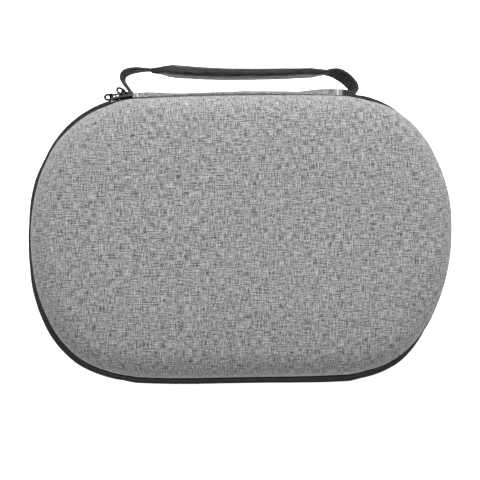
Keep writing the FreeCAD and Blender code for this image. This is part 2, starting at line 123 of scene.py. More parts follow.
# How far the soft case strays from its mould, by the angle of the outward normal: millimetres outwards.
SHELL_STRAY = (
    (-166, 0.4), (-158, 0.7), (-146, 0.6), (-127, 0.8), (-112, 0.3), (-96, 0.2), (-93, 0.8), (-92, 1.3),
    (-91, 0.6), (-90, 0.3), (-89, 0.7), (-88, 1.6), (-87, 2.0), (-80, 0.9), (-68, 0.9), (-57, 0.4),
    (-45, -0.4), (-34, -1.3), (-26, -1.0), (-19, -0.4), (-13, 0.3), (-7, 0.8), (0, 1.2), (6, 2.1),
    (12, 2.5), (19, 2.3), (27, 1.8), (37, 1.3), (49, 1.1), (62, 0.5), (74, -0.6), (85, -0.1),
    (87, 0.6), (88.5, 0.1), (90, -0.7), (91.5, -0.5), (93, 0.0), (99, -0.8), (107, -2.0), (120, -2.0),
    (132, -2.1), (145, -1.2), (156, -0.8), (162, -0.1), (168, -0.3), (181, -0.3), (188, -0.1),
)
ZIP_STRAY = (
    (-166, 1.3), (-158, 2.1), (-150, 2.3), (-140, 2.2), (-127, 2.0), (-112, 0.5), (-100, -0.1), (-93, 0.8),
    (-92, 1.3), (-91, 0.6), (-90, 0.3), (-89, 0.8), (-88, 2.0), (-87, 2.8), (-80, 1.7), (-68, 2.0),
    (-57, 2.0), (-47, 0.7), (-34, -1.3), (-26, -1.0), (-19, -0.4), (-13, 0.3), (-7, 0.8), (0, 1.2),
    (6, 2.1), (12, 2.5), (19, 2.3), (27, 1.8), (37, 1.4), (49, 1.4), (62, 1.8), (74, 1.4),
    (87, 0.0), (155, 0.0), (162, 1.1), (168, 0.6), (175, -0.6), (181, -0.6), (188, -0.1),
)


def stray(table, angle):
    """How far the case strays outwards at a normal's angle, from a table and smoothed a little."""
    table = np.array(table)
    near = [np.interp(angle + turn, table[:, 0], table[:, 1], period=360) for turn in (-0.6, 0.0, 0.6)]
    return np.mean(near, axis=0)


def sample_arcs(arcs, step, closed=False):
    """Rows along joined arcs: x, y, normal x, normal y, length, and how far the shell and the zip stray."""
    rows, length = [], 0.0
    for x, y, radius, start, end in arcs:
        sweep = math.radians(end - start)
        count = max(1, round(radius * sweep / step))
        for i in range(count):
            angle = math.radians(start) + sweep * i / count
            c, s = math.cos(angle), math.sin(angle)
            rows.append((x + radius * c, y + radius * s, c, s, length + radius * sweep * i / count))
        length += radius * sweep
    if not closed:
        x, y, radius, start, end = arcs[-1]
        c, s = math.cos(math.radians(end)), math.sin(math.radians(end))
        rows.append((x + radius * c, y + radius * s, c, s, length))
    rows = np.array(rows)
    angle = np.degrees(np.arctan2(rows[:, 3], rows[:, 2]))
    return np.column_stack((rows, stray(SHELL_STRAY, angle), stray(ZIP_STRAY, angle))), length


def wall(z, depth=0.0):
    return (-(depth + z * math.sin(DRAFT)) / math.cos(DRAFT), z)


def crown_frame(height):
    """Centre of the crown's arc, and the dome's radius."""
    rise = math.tan(DOME_SLOPE / 2)
    level = height - (CROWN_RADIUS * math.sin(DOME_SLOPE) + PLATEAU_INSET) * rise
    level -= CROWN_RADIUS * math.cos(DOME_SLOPE)
    crown_n = (-CROWN_RADIUS - math.sin(DRAFT) * level) / (math.cos(DRAFT) - rise * math.sin(DRAFT))
    dome_radius = (crown_n + PLATEAU_INSET) / math.sin(DOME_SLOPE) + CROWN_RADIUS
    return crown_n, level - crown_n * rise, dome_radius


def surface_profile(height, depth, rim=PARTING_GAP):
    """Points (n, z) of a shell's surface at a depth, from the rim to the edge of the flat top."""
    crown_n, crown_z, dome_radius = crown_frame(height)
    crown, dome = CROWN_RADIUS - depth, dome_radius - depth
    start = (crown_n + crown * math.cos(DRAFT), crown_z + crown * math.sin(DRAFT))
    low = wall(rim, depth)
    flank = np.linspace(low, start, 14)[:-1]
    points = [tuple(p) for p in flank]
    for angle in np.linspace(DRAFT, math.pi / 2 - DOME_SLOPE, 14)[:-1]:
        points.append((crown_n + crown * math.cos(angle), crown_z + crown * math.sin(angle)))
    for slope in np.linspace(DOME_SLOPE, 0, 10):
        up = height - dome_radius + dome * math.cos(slope)
        points.append((-PLATEAU_INSET + dome * math.sin(slope), up))
    return points


# The zip's tape follows the shell from this height over the parting, and the zip this much nearer to it.
TAPE_ON_SHELL = 8.2
TAPE_LEAVES_OVER = 3.4
# A strap end shows its ribs only on the outside, further out than this.
RIBS_BEYOND = 3.0
RIB_PITCH = 1.9

# ---------------------------------------------------------------- mesh makers


def add_object(name, vertices, faces, uvs, sharp=38.0):
    """A mesh in the row frame from points in millimetres, with a UV map in metres."""
    mesh = bpy.data.meshes.new(name)
    mesh.from_pydata((np.asarray(vertices, float) * MM).tolist(), [], faces)
    layer = mesh.uv_layers.new(name="cloth")
    layer.data.foreach_set("uv", (np.asarray(uvs, np.float32) * MM).ravel())
    bm = bmesh.new()
    bm.from_mesh(mesh)
    bmesh.ops.remove_doubles(bm, verts=bm.verts, dist=0.002 * MM)
    bmesh.ops.dissolve_degenerate(bm, edges=bm.edges, dist=0.001 * MM)
    bmesh.ops.recalc_face_normals(bm, faces=bm.faces)
    for face in bm.faces:
        face.smooth = True
    for edge in bm.edges:
        edge.smooth = len(edge.link_faces) < 2 or edge.calc_face_angle(0) < math.radians(sharp)
    bm.to_mesh(mesh)
    bm.free()
    made = bpy.data.objects.new(name, mesh)
    bpy.context.scene.collection.objects.link(made)
    return made


def grid_faces(rows, cols, uv, closed_u, closed_v, capped):
    """Faces and corner UVs of a grid. uv has one more row or column than the grid where it is closed."""
    faces, corners = [], []
    for i in range(rows if closed_u else rows - 1):
        for j in range(cols if closed_v else cols - 1):
            ring = ((i, j), (i + 1, j), (i + 1, j + 1), (i, j + 1))
            faces.append([(a % rows) * cols + b % cols for a, b in ring])
            corners += [uv[a][b] for a, b in ring]
    if capped:
        for i in (0, rows - 1):
            faces.append([i * cols + j for j in range(cols)])
            corners += [uv[i][j] for j in range(cols)]
    return faces, corners


def grid_object(name, points, uv, closed_u=False, closed_v=False, capped=False, sharp=38.0):
    points = np.asarray(points, float)
    rows, cols = points.shape[:2]
    faces, corners = grid_faces(rows, cols, uv, closed_u, closed_v, capped)
    return add_object(name, points.reshape(-1, 3), faces, corners, sharp)


def tube_object(name, rings, along, around, sharp=60.0):
    """A tube with closed ends from its rings, with the lengths along it and around it."""
    return grid_object(name, rings, separable_uv(along, around), False, True, True, sharp)


def around_section(section, thickness=1.0, width=1.0):
    return path_lengths([(a * thickness, b * width, 0) for a, b in section + [section[0]]])


def path_lengths(points):
    points = np.asarray(points, float)
    return np.concatenate([[0], np.cumsum(np.linalg.norm(np.diff(points, axis=0), axis=1))])


def separable_uv(u, v):
    return [[(a, b) for b in v] for a in u]


def band_object(name, arcs, profile, side, step=2.0, closed=False, zip_share=0.0, ribs=0.0, sharp=38.0):
    """A closed profile (n, z) that follows outline arcs. zip_share says how far it keeps to the zip."""
    rows, length = sample_arcs(arcs, step, closed)
    ring = path_lengths(list(profile) + [profile[0]])
    points = []
    for x, y, nx, ny, s, shell, track in rows:
        rib = ribs * math.sin(2 * math.pi * s / RIB_PITCH)
        column = []
        for n, z in profile:
            share = zip_share * min(1.0, max(0.0, (TAPE_ON_SHELL - z) / TAPE_LEAVES_OVER))
            out = n + shell * (1 - share) + track * share + (rib if n > RIBS_BEYOND else 0.0)
            column.append((x + nx * out, y + ny * out, PARTING + side * z))
        points.append(column)
    u = list(rows[:, 4]) + ([length] if closed else [])
    return grid_object(name, points, separable_uv(u, ring), closed, True, not closed, sharp)


# Unevenness: none up to EVEN_RIM over the parting, full EVEN_FADE further on, and vertical on the crown.
EVEN_RIM = 6.0
EVEN_FADE = 12.0
CROWN_BELOW_TOP = 16.0
BROAD_WAVE, FINE_WAVE, FINE_SHARE = 55.0, 21.0, 0.4


def make_uneven(points, normal, height, side, most):
    """Presses a skin in by up to most, in broad soft waves."""
    for i, j in np.ndindex(points.shape[:2]):
        p = points[i, j]
        over = abs(p[2] - PARTING)
        if over < EVEN_RIM:
            continue
        fade = min(1.0, (over - EVEN_RIM) / EVEN_FADE)
        value = noise.noise(Vector(p) / BROAD_WAVE + Vector((3.1, 7.7, side)))
        value += FINE_SHARE * noise.noise(Vector(p) / FINE_WAVE + Vector((9.2, 1.3, side)))
        top = min(1.0, max(0.0, (over - height + CROWN_BELOW_TOP) / EVEN_FADE))
        direction = np.array([*(normal[i] * (1 - top)), side * top])
        points[i, j] -= direction * fade * most * (0.5 + 0.5 * value)


def skin_object(name, height, outer, inner, side, uneven=0.0):
    """A thin shell between two depths, from the rim over the crown to the middle of the flat top."""
    arcs = list(ARCS.values())
    rows, _ = sample_arcs(arcs, 1.9, closed=True)
    shares = np.linspace(1, 0, 15)[1:]
    columns = []
    for depth in (outer, inner):
        profile = surface_profile(height, depth)
        lengths = path_lengths(profile)
        rings = [(n, z, lengths[-1] - l, 1.0) for (n, z), l in zip(profile, lengths)]
        rings += [(-PLATEAU_INSET, profile[-1][1], 0.0, share) for share in shares]
        columns.append(rings if depth == outer else rings[::-1])
    columns = columns[0] + columns[1]
    xy, normal, out_of_mould = rows[:, 0:2], rows[:, 2:4], rows[:, 5]
    plateau = xy - PLATEAU_INSET * normal
    points = np.zeros((len(rows), len(columns), 3))
    uv = np.zeros((len(rows) + 1, len(columns), 2))
    for j, (n, z, out, share) in enumerate(columns):
        near_rim = min(1.0, max(0.0, (n + PLATEAU_INSET - 4) / 40))
        reach = n + out_of_mould * near_rim * near_rim * (3 - 2 * near_rim)
        flat = (xy + reach[:, None] * normal) if share == 1.0 else plateau * share
        points[:, j, 0:2] = flat
        points[:, j, 2] = PARTING + side * z
        uv[:-1, j] = plateau * share + out * normal
    if uneven:
        make_uneven(points, normal, height, side, uneven)
    uv[-1] = uv[0]
    return grid_object(name, points, uv.tolist(), True, False, False, 50.0)


def tube_rings(path, normals, half_width, half_thickness, corners):
    """Rings round a path: normals points along the ring's thickness, and width is across it."""
    rings = []
    path = np.asarray(path, float)
    tangents = np.gradient(path, axis=0)
    for point, tangent, normal, width, thickness in zip(path, tangents, normals, half_width, half_thickness):
        t = tangent / np.linalg.norm(tangent)
        nrm = np.asarray(normal, float) - t * np.dot(normal, t)
        nrm = nrm / np.linalg.norm(nrm)
        across = np.cross(t, nrm)
        rings.append([point + nrm * a * thickness + across * b * width for a, b in corners])
    return rings


def strap_section(count=10, corner=0.45):
    """A rounded flat ring as (share of half thickness, share of half width) with many points on the flats."""
    flat = np.linspace(-1 + corner * 0.16, 1 - corner * 0.16, count)
    return (
        [(1.0, b) for b in flat]
        + [(0.6, 1.0), (-0.6, 1.0)]
        + [(-1.0, b) for b in flat[::-1]]
        + [(-0.6, -1.0), (0.6, -1.0)]
    )


def smooth_path(points, step):
    """Points about a step apart on a Catmull-Rom curve through the given points."""
    points = [np.asarray(p, float) for p in points]
    ends = [2 * points[0] - points[1]] + points + [2 * points[-1] - points[-2]]
    made = []
    for a, b, c, d in zip(ends, ends[1:], ends[2:], ends[3:]):
        count = max(2, round(np.linalg.norm(c - b) / step))
        for i in range(count):
            t = i / count
            square = (2 * a - 5 * b + 4 * c - d) * t**2
            cube = (3 * b - a - 3 * c + d) * t**3
            made.append(0.5 * (2 * b + (c - a) * t + square + cube))
    made.append(points[-1])
    return np.array(made)


# Rings of one stitch: share of its length, share of its radius, and lift in radii.
STITCH_RINGS = ((0, 0.35, -0.5), (0.14, 0.9, 0.1), (0.5, 1.0, 0.35), (0.86, 0.9, 0.1), (1, 0.35, -0.5))


def capsule(start, end, radius, up, sides=6):
    """Vertices and faces of a short thread from start to end, arched away from the cloth."""
    start, end, up = (np.asarray(v, float) for v in (start, end, up))
    along = end - start
    length = np.linalg.norm(along)
    t = along / length
    across = np.cross(t, up)
    across = across / np.linalg.norm(across)
    normal = np.cross(across, t)
    vertices = []
    for share, size, lift in STITCH_RINGS:
        centre = start + along * share + normal * radius * lift
        for k in range(sides):
            angle = 2 * math.pi * k / sides
            vertices.append(centre + radius * size * (across * math.cos(angle) + normal * math.sin(angle)))
    faces = []
    for i in range(4):
        for k in range(sides):
            j = (k + 1) % sides
            faces.append([i * sides + k, (i + 1) * sides + k, (i + 1) * sides + j, i * sides + j])
    faces.append(list(range(sides))[::-1])
    faces.append([4 * sides + k for k in range(sides)])
    return vertices, faces


def stitch_object(name, path, ups, stitch, gap, radius):
    """A row of sewing stitches along a path."""
    path = np.asarray(path, float)
    lengths = path_lengths(path)
    ups = np.asarray(ups, float)
    count = int((lengths[-1] + gap) / (stitch + gap))
    vertices, faces = [], []

    def at(s, table):
        return [np.interp(s, lengths, table[:, k]) for k in range(3)]

    for i in range(count):
        low = i * (stitch + gap)
        made, sides = capsule(at(low, path), at(low + stitch, path), radius, at(low + stitch / 2, ups))
        faces += [[len(vertices) + k for k in face] for face in sides]
        vertices += made
    uvs = [(0.0, 0.0)] * sum(len(f) for f in faces)
    return add_object(name, vertices, faces, uvs, 80.0)


# ---------------------------------------------------------------- materials


class Shader:
    """A node material with short calls for the nodes that these surfaces use."""

    def __init__(self, name, roughness, specular=0.5, sheen=0.0, metallic=0.0):
        self.material = bpy.data.materials.new(name)
        self.material.use_nodes = True
        self.tree = self.material.node_tree
        self.surface = self.tree.nodes["Principled BSDF"]
        self.surface.inputs["Roughness"].default_value = roughness
        self.surface.inputs["Specular IOR Level"].default_value = specular
        self.surface.inputs["Sheen Weight"].default_value = sheen
        self.surface.inputs["Metallic"].default_value = metallic

    def node(self, kind, settings=None, **inputs):
        """A node with its settings and inputs; an input called i and a number is taken by its number."""
        made = self.tree.nodes.new("ShaderNode" + kind)
        for key, value in (settings or {}).items():
            setattr(made, key, value)
        for key, value in inputs.items():
            numbered = key.startswith("i") and key[1:].isdigit()
            self.feed(made.inputs[int(key[1:]) if numbered else key], value)
        return made

    def feed(self, socket, value):
        if isinstance(value, bpy.types.NodeSocket):
            self.tree.links.new(value, socket)
        else:
            socket.default_value = value

    def cloth(self):
        return self.node("UVMap", {"uv_map": "cloth"}).outputs["UV"]

    def place(self):
        return self.node("TexCoord").outputs["Object"]

    def scaled(self, coordinates, x, y, z=1.0):
        return self.node("Mapping", Vector=coordinates, Scale=(x, y, z)).outputs["Vector"]

    def noise(self, coordinates, scale, detail=2.0, roughness=0.5, distortion=0.0):
        shape = {"Detail": detail, "Roughness": roughness, "Distortion": distortion}
        return self.node("TexNoise", Vector=coordinates, Scale=scale, **shape).outputs["Fac"]

    def bands(self, direction, coordinates, scale, distortion):
        made = self.node("TexWave", {"bands_direction": direction}, Vector=coordinates, Scale=scale)
        made.inputs["Distortion"].default_value = distortion
        return made.outputs["Fac"]

    def math(self, operation, a, b):
        return self.node("Math", {"operation": operation}, i0=a, i1=b).outputs["Value"]

    def weighted(self, *parts):
        """The sum of values, each with its share."""
        total = None
        for value, share in parts:
            part = self.math("MULTIPLY", value, share)
            total = part if total is None else self.math("ADD", total, part)
        return total

    def spread(self, value, low, high, to_low=0.0, to_high=1.0):
        keys = {"From Min": low, "From Max": high, "To Min": to_low, "To Max": to_high}
        made = self.node("MapRange", {"clamp": True})
        self.feed(made.inputs["Value"], value)
        for key, number in keys.items():
            made.inputs[key].default_value = number
        return made.outputs["Result"]

    def mix(self, share, a, b):
        made = self.node("Mix", {"data_type": "RGBA"}, i0=share, i6=a, i7=b)
        return made.outputs[2]

    def grey_mix(self, share, low, high):
        return self.mix(share, (low, low, low * 1.01, 1.0), (high, high, high * 1.005, 1.0))

    def bump(self, height, distance, strength=1.0, normal=None):
        made = self.node("Bump", Height=height, Distance=distance, Strength=strength)
        if normal is not None:
            self.feed(made.inputs["Normal"], normal)
        return made.outputs["Normal"]

    def finish(self, colour, normal=None, roughness=None, alpha=None):
        self.feed(self.surface.inputs["Base Color"], colour)
        if normal is not None:
            self.feed(self.surface.inputs["Normal"], normal)
        if roughness is not None:
            self.feed(self.surface.inputs["Roughness"], roughness)
        if alpha is not None:
            self.feed(self.surface.inputs["Alpha"], alpha)
        return self.material


def heather_fabric(name, shade=1.0):
    """Grey heather oxford cloth: threads of mixed greys both ways, with thicker slubs."""
    m = Shader(name, 0.92, 0.2, sheen=0.08)
    cloth = m.cloth()
    warp = m.noise(m.scaled(cloth, 1300, 165), 1.0, 1.0, 0.5)
    weft = m.noise(m.scaled(cloth, 170, 1250), 1.0, 1.0, 0.5)
    fleck = m.noise(m.scaled(cloth, 1250, 1250), 1.0, 1.0, 0.5)
    cloud = m.noise(m.scaled(cloth, 26, 26), 1.0, 2.0, 0.5)
    both = m.weighted((warp, 0.31), (weft, 0.31), (fleck, 0.36), (cloud, 0.02))
    tone = m.spread(both, 0.393, 0.607)
    slub = m.spread(m.noise(m.scaled(cloth, 200, 700, 1), 1.0, 1.0), 0.62, 0.74)
    slub_up = m.spread(m.noise(m.scaled(cloth, 740, 190, 1), 1.0, 1.0), 0.64, 0.76)
    # A shade below 1 darkens every thread; on the gusset this is painted shade.
    colour = m.grey_mix(tone, 0.045 * shade, 0.4 * shade)
    colour = m.mix(m.math("MULTIPLY", slub, 0.2), colour, (0.47, 0.47, 0.47, 1))
    colour = m.mix(m.math("MULTIPLY", slub_up, 0.17), colour, (0.45, 0.45, 0.45, 1))
    weave = m.math("MULTIPLY", m.bands("X", cloth, 180.0, 1.5), m.bands("Y", cloth, 180.0, 1.5))
    height = m.weighted((weave, 0.6), (both, 0.9))
    return m.finish(colour, m.bump(height, 0.00035, 0.55))


def ribbed_cloth(name, dark, light, along, across, depth, roughness=0.85):
    """Woven tape: ribs across its length, crossed by finer lengthwise threads, with painted shade in the
    troughs and painted highlight on the crests.
    """
    m = Shader(name, roughness, 0.2, sheen=0.02)
    cloth = m.cloth()
    ribs = m.bands("X", cloth, along, 0.6)
    threads = m.bands("Y", cloth, across, 0.6)
    fuzz = m.noise(m.scaled(cloth, 900, 900), 1.0, 3.0, 0.7)
    height = m.weighted((ribs, 0.7), (threads, 0.3))
    # The ribs' height goes into the colour as painted shade and highlight, mixed with random fuzz.
    share = m.weighted((height, 0.65), (fuzz, 0.35))
    return m.finish(m.grey_mix(share, dark, light), m.bump(height, depth, 0.8))


def grip_leather():
    """Soft synthetic leather: fine grain, long creases, and pale streaks painted in as highlights, rougher
    where paler.
    """
    m = Shader("grip_leather", 0.5, 0.26)
    cloth = m.cloth()
    cells = m.node("TexVoronoi", {"feature": "DISTANCE_TO_EDGE"}, Vector=m.scaled(cloth, 900, 900), Scale=1.0)
    grain = m.spread(cells.outputs["Distance"], 0.0, 0.12)
    creases = m.noise(m.scaled(cloth, 60, 420), 1.0, 3.0, 0.6, 0.6)
    creases = m.spread(creases, 0.42, 0.58)
    highlight_streaks = m.noise(m.scaled(cloth, 90, 260), 1.0, 3.0)
    # The pale streaks in the colour are painted highlights.
    colour = m.grey_mix(m.spread(highlight_streaks, 0.35, 0.75), 0.006, 0.027)
    height = m.weighted((grain, 0.25), (creases, 0.75))
    return m.finish(colour, m.bump(height, 0.0006, 0.7), m.spread(highlight_streaks, 0.3, 0.7, 0.32, 0.6))


def brushed_lining():
    """Short-pile tricot lining."""
    m = Shader("brushed_lining", 0.95, 0.15, sheen=0.35)
    place = m.place()
    pile = m.noise(place, 900.0, 4.0, 0.7)
    patches = m.noise(place, 22.0, 3.0, 0.6)
    share = m.weighted((pile, 0.5), (patches, 0.5))
    return m.finish(m.grey_mix(share, 0.02, 0.075), m.bump(pile, 0.0004, 0.6))


def foam():
    """Moulded foam with small pores."""
    m = Shader("moulded_foam", 0.9, 0.2)
    place = m.place()
    pores = m.node("TexVoronoi", Vector=place, Scale=900.0).outputs["Distance"]
    tint = m.noise(place, 60.0, 3.0)
    return m.finish(m.grey_mix(tint, 0.03, 0.07), m.bump(pores, 0.0003, 0.5))


def thread(name, dark, light):
    m = Shader(name, 0.75, 0.3, sheen=0.1)
    fibres = m.noise(m.place(), 2500.0, 2.0)
    return m.finish(m.grey_mix(fibres, dark, light), m.bump(fibres, 0.0001, 0.5))


def zip_metal():
    """Black enamelled die-cast metal, worn paler on its edges."""
    m = Shader("zip_metal", 0.5, 0.2, metallic=0.0)
    place = m.place()
    scratches = m.noise(m.scaled(place, 900, 3500, 900), 1.0, 3.0, 0.7)
    pointed = m.node("NewGeometry").outputs["Pointiness"]
    edge = m.spread(pointed, 0.52, 0.62)
    colour = m.grey_mix(m.math("MULTIPLY", edge, scratches), 0.006, 0.08)
    return m.finish(colour, m.bump(scratches, 0.00003, 0.4), m.spread(scratches, 0.3, 0.7, 0.42, 0.62))


def nylon():
    """Zip coil: smooth black nylon."""
    m = Shader("zip_coil", 0.45, 0.3)
    tint = m.noise(m.place(), 700.0, 2.0)
    return m.finish(m.grey_mix(tint, 0.006, 0.02), m.bump(tint, 0.00005, 0.3))


def knitted_mesh():
    """Warp-knitted mesh with open holes in offset rows."""
    m = Shader("mesh", 0.7, 0.3)
    cloth = m.cloth()
    rows = m.scaled(cloth, 380, 430)
    holes = m.node("TexVoronoi", {"voronoi_dimensions": "2D"}, Vector=rows, Scale=1.0, Randomness=0.12)
    distance = holes.outputs["Distance"]
    alpha = m.spread(distance, 0.27, 0.31)
    fibres = m.noise(m.scaled(cloth, 2500, 2500), 1.0, 2.0)
    return m.finish(m.grey_mix(fibres, 0.05, 0.12), m.bump(distance, 0.0003, 0.5), alpha=alpha)


def floor_material():
    m = Shader("floor", 0.9, 0.1)
    tint = m.noise(m.place(), 3.0, 2.0)
    m.surface.inputs["Emission Color"].default_value = (1, 1, 1, 1)
    away = m.node("VectorMath", {"operation": "LENGTH"}, i0=m.place()).outputs["Value"]
    m.feed(m.surface.inputs["Emission Strength"], m.spread(away, 0.6, 2.0, 0.88, 0.5))
    return m.finish(m.grey_mix(tint, 0.85, 0.87))


HEATHER = heather_fabric("heather_fabric")
# The gusset is the same heather darkened to 0.78 as painted shade.
GUSSET_CLOTH = heather_fabric("heather_gusset", 0.78)
WEB = ribbed_cloth("webbing", 0.001, 0.075, 165.3, 420.0, 0.0005)
TAPE_CLOTH = ribbed_cloth("black_tape", 0.004, 0.016, 420.0, 260.0, 0.0003)
ELASTIC = ribbed_cloth("elastic", 0.014, 0.05, 210.0, 330.0, 0.0004)
LEATHER = grip_leather()
LINING = brushed_lining()
FOAM = foam()
THREAD = thread("thread", 0.02, 0.05)
PALE_THREAD = thread("pale_thread", 0.55, 0.85)
GRIP_THREAD = thread("grip_thread", 0.06, 0.15)
GUSSET_THREAD = thread("gusset_thread", 0.1, 0.18)
METAL = zip_metal()
NYLON = nylon()
MESH = knitted_mesh()


def dress(piece, material, body=None):
    """Gives a piece its material and slot, and lets it ride on a body."""
    piece.data.materials.clear()
    piece.data.materials.append(material)
    if body:
        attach(piece, body)
    return piece


# ---------------------------------------------------------------- shells and lining


BINDING = 0.8


def build_shells():
    for body, height, side in (("lid", LID_HEIGHT, 1), ("base", BASE_HEIGHT, -1)):
        fabric = skin_object(body + "_cloth", height, 0.0, FABRIC, side, uneven=0.35)
        dress(fabric, HEATHER, body)
        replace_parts(fabric, body + "_fabric")
        lining = skin_object(body + "_tricot", height, SHELL_DEPTH + 0.02, LINED_DEPTH, side)
        dress(lining, LINING, body)
        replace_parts(lining, body + "_lining")
        inner = LINED_DEPTH + BINDING
        over, edge, reach = 0.8, 0.06, 10
        corners = ((over, -0.12), (edge, -0.1), (edge, inner), (reach, inner), (reach, LINED_DEPTH))
        corners += ((PARTING_GAP, LINED_DEPTH), (PARTING_GAP, 0), (over, 0))
        profile = [wall(z, depth) for z, depth in corners]
        binding = band_object(body + "_rim_binding", list(ARCS.values()), profile, side, closed=True)
        dress(binding, TAPE_CLOTH, body)
        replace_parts(binding, body + "_binding")
        shell = skin_object(body + "_foam", height, FABRIC + 0.02, SHELL_DEPTH, side)
        dress(shell, FOAM, body)
        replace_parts(shell, body + "_shell")


# ---------------------------------------------------------------- zip

ZIP_ARCS = [ARCS["spine_left"]] + [ARCS[k] for k in FRONT_ARCS] + [ARCS["spine_right"]]
SLIDERS_COVER_TO = 15.8
LID_ARCS = [left_corner(SLIDERS_COVER_TO, 90 - SIDE_TURN)] + ZIP_ARCS[1:]
TOOTH_PITCH = 1.36


def tape_profile():
    """The tape's section: sewn flat on the wall, then lifting off it towards the coil."""
    inner = [wall(13.0, -0.02), wall(7.2, -0.02), (0.9, 4.7), (2.9, 2.55)]
    outer = [(3.75, 2.6), (1.9, 4.85), wall(8.2, -TAPE), wall(12.6, -TAPE), wall(13.0, -TAPE * 0.6)]
    return inner + outer


def tooth_template(head):
    """Rings of one coil tooth in (along, n, z), from its head to the tape."""
    rings = []
    levels = ((head, 0.4), (head + 0.12, 0.8), (head + 0.5, 1.0), (head + 1.0, 0.72), (1.6, 0.72), (2.7, 0.8))
    for z, size in levels:
        for k in range(8):
            angle = 2 * math.pi * (k + 0.5) / 8
            rings.append((0.33 * size * math.cos(angle), 3.35 + (0.55 + 0.4 * size) * math.sin(angle), z))
    return np.array(rings), len(levels)


def teeth_object(name, arcs, side, offset, head):
    rows, length = sample_arcs(arcs, 1.0)
    template, levels = tooth_template(head)
    vertices, faces = [], []
    count = int(length / TOOTH_PITCH)
    for i in range(count):
        s = (i + offset) * TOOTH_PITCH
        x, y, nx, ny, out = (np.interp(s, rows[:, 4], rows[:, k]) for k in (0, 1, 2, 3, 6))
        first = len(vertices)
        for along, n, z in template:
            reach = n + out
            place = (x + nx * reach - ny * along, y + ny * reach + nx * along, PARTING + side * z)
            vertices.append(place)
        for ring in range(levels - 1):
            for k in range(8):
                a, b = first + ring * 8 + k, first + ring * 8 + (k + 1) % 8
                faces.append([a, b, b + 8, a + 8])
        faces.append([first + k for k in range(8)])
        faces.append([first + (levels - 1) * 8 + k for k in range(8)])
    uvs = [(0.0, 0.0)] * sum(len(f) for f in faces)
    return add_object(name, vertices, faces, uvs, 60.0)


def cord_inside(name, arcs, side):
    """The core that the coil is sewn over, just inside the teeth."""
    profile = [(2.45, 1.0), (2.9, 0.75), (2.9, 2.7), (2.45, 2.7)]
    return band_object(name, arcs, profile, side, step=2.0, zip_share=1.0)


def tape_line(arcs, height, depth, side):
    """Path and normals along the tape at a height."""
    rows, _ = sample_arcs(arcs, 1.5)
    n, z = wall(height, depth)
    path = [(x + nx * (n + out), y + ny * (n + out), PARTING + side * z) for x, y, nx, ny, _, out, _ in rows]
    ups = [(nx, ny, side * math.sin(DRAFT)) for nx, ny in rows[:, 2:4]]
    return path, ups


PULLS = (("a", 12.6, 174.0), ("b", 6.5, 145.0))
PIN_AT = 6.4
PULL_ROLL = (15.0, 44.0)
PULL_OUTLINE = (
    (0.0, -2.1), (0.0, -1.0), (0.0, 0.0), (0.0, 1.0), (0.0, 2.1), (0.6, 2.35), (2.0, 2.3), (4.0, 2.3),
    (6.0, 2.3), (7.4, 1.9), (8.2, 1.0), (8.4, 0.0), (8.2, -1.0), (7.4, -1.9), (6.0, -2.3), (4.0, -2.3),
    (2.0, -2.3), (0.6, -2.35),
)
WIRE_HALF_WIDTH = (0.44, 0.9)
WIRE_HALF_THICKNESS = (0.44, 0.62)
WEB_AT, WEB_HALF_LENGTH, WEB_HALF_WIDTH = 3.5, 1.5, 2.0


WIRE_TURNS = [2 * math.pi * k / 12 for k in range(12)]


def pull_across(a, outward):
    """The pull's sideways direction at a distance from its pin: the pull is twisted near its root."""
    roll = np.radians(np.interp(a, (0.6, 3.2), PULL_ROLL))
    return np.outer(np.cos(roll), (0, 0, 1)) + np.outer(np.sin(roll), outward)


def pull_ring(name, pin, along, outward):
    """The bent wire, from round at the pin to flat further out."""
    loop = smooth_path([(a, c, 0) for a, c in PULL_OUTLINE + PULL_OUTLINE[:1]], 0.25)[:-1]
    across = pull_across(loop[:, 0], outward)
    centre = pin + np.outer(loop[:, 0], along) + loop[:, 1:2] * across
    wide, thick = (np.interp(loop[:, 0], (0.5, 2.0), half) for half in (WIRE_HALF_WIDTH, WIRE_HALF_THICKNESS))
    points = []
    for i, at in enumerate(centre):
        tangent = centre[(i + 1) % len(centre)] - centre[i - 1]
        tangent /= np.linalg.norm(tangent)
        side = np.cross(tangent, np.cross(along, across[i]))
        side /= np.linalg.norm(side)
        up = np.cross(side, tangent)
        points.append([at + side * math.cos(w) * wide[i] + up * math.sin(w) * thick[i] for w in WIRE_TURNS])
    uv = separable_uv(np.arange(len(points) + 1) * 0.3, np.arange(13) * 0.4)
    return grid_object(name, points, uv, True, True, False, 60.0)


def pull_web(name, pin, along, outward):
    """The flat web across the middle of the ring."""
    middle = pull_across([WEB_AT], outward)[0]
    up = np.cross(along, middle)
    half = WIRE_HALF_THICKNESS[1] * 0.8
    section = [along * math.cos(w) * WEB_HALF_LENGTH + up * math.sin(w) * half for w in WIRE_TURNS]
    rings = []
    for c in np.linspace(-WEB_HALF_WIDTH, WEB_HALF_WIDTH, 7):
        rings.append([pin + along * WEB_AT + middle * c + at for at in section])
    return tube_object(name, rings, np.arange(7), np.arange(13) * 0.4)


def pull_object(name, turn, lean):
    """A zip pull: turn is the slider's place on the corner, lean the pull's rest angle."""
    place = math.radians(90 + turn)
    heading = math.radians(turn + lean)
    reach = CORNER_RADIUS + PIN_AT
    pin = np.array((-CORNER[0] + reach * math.cos(place), CORNER[1] + reach * math.sin(place), PARTING))
    along = np.array((math.cos(heading), math.sin(heading), 0.0))
    outward = np.array((math.sin(heading), -math.cos(heading), 0.0))
    return pull_ring(name, pin, along, outward), pull_web(name + "_web", pin, along, outward)


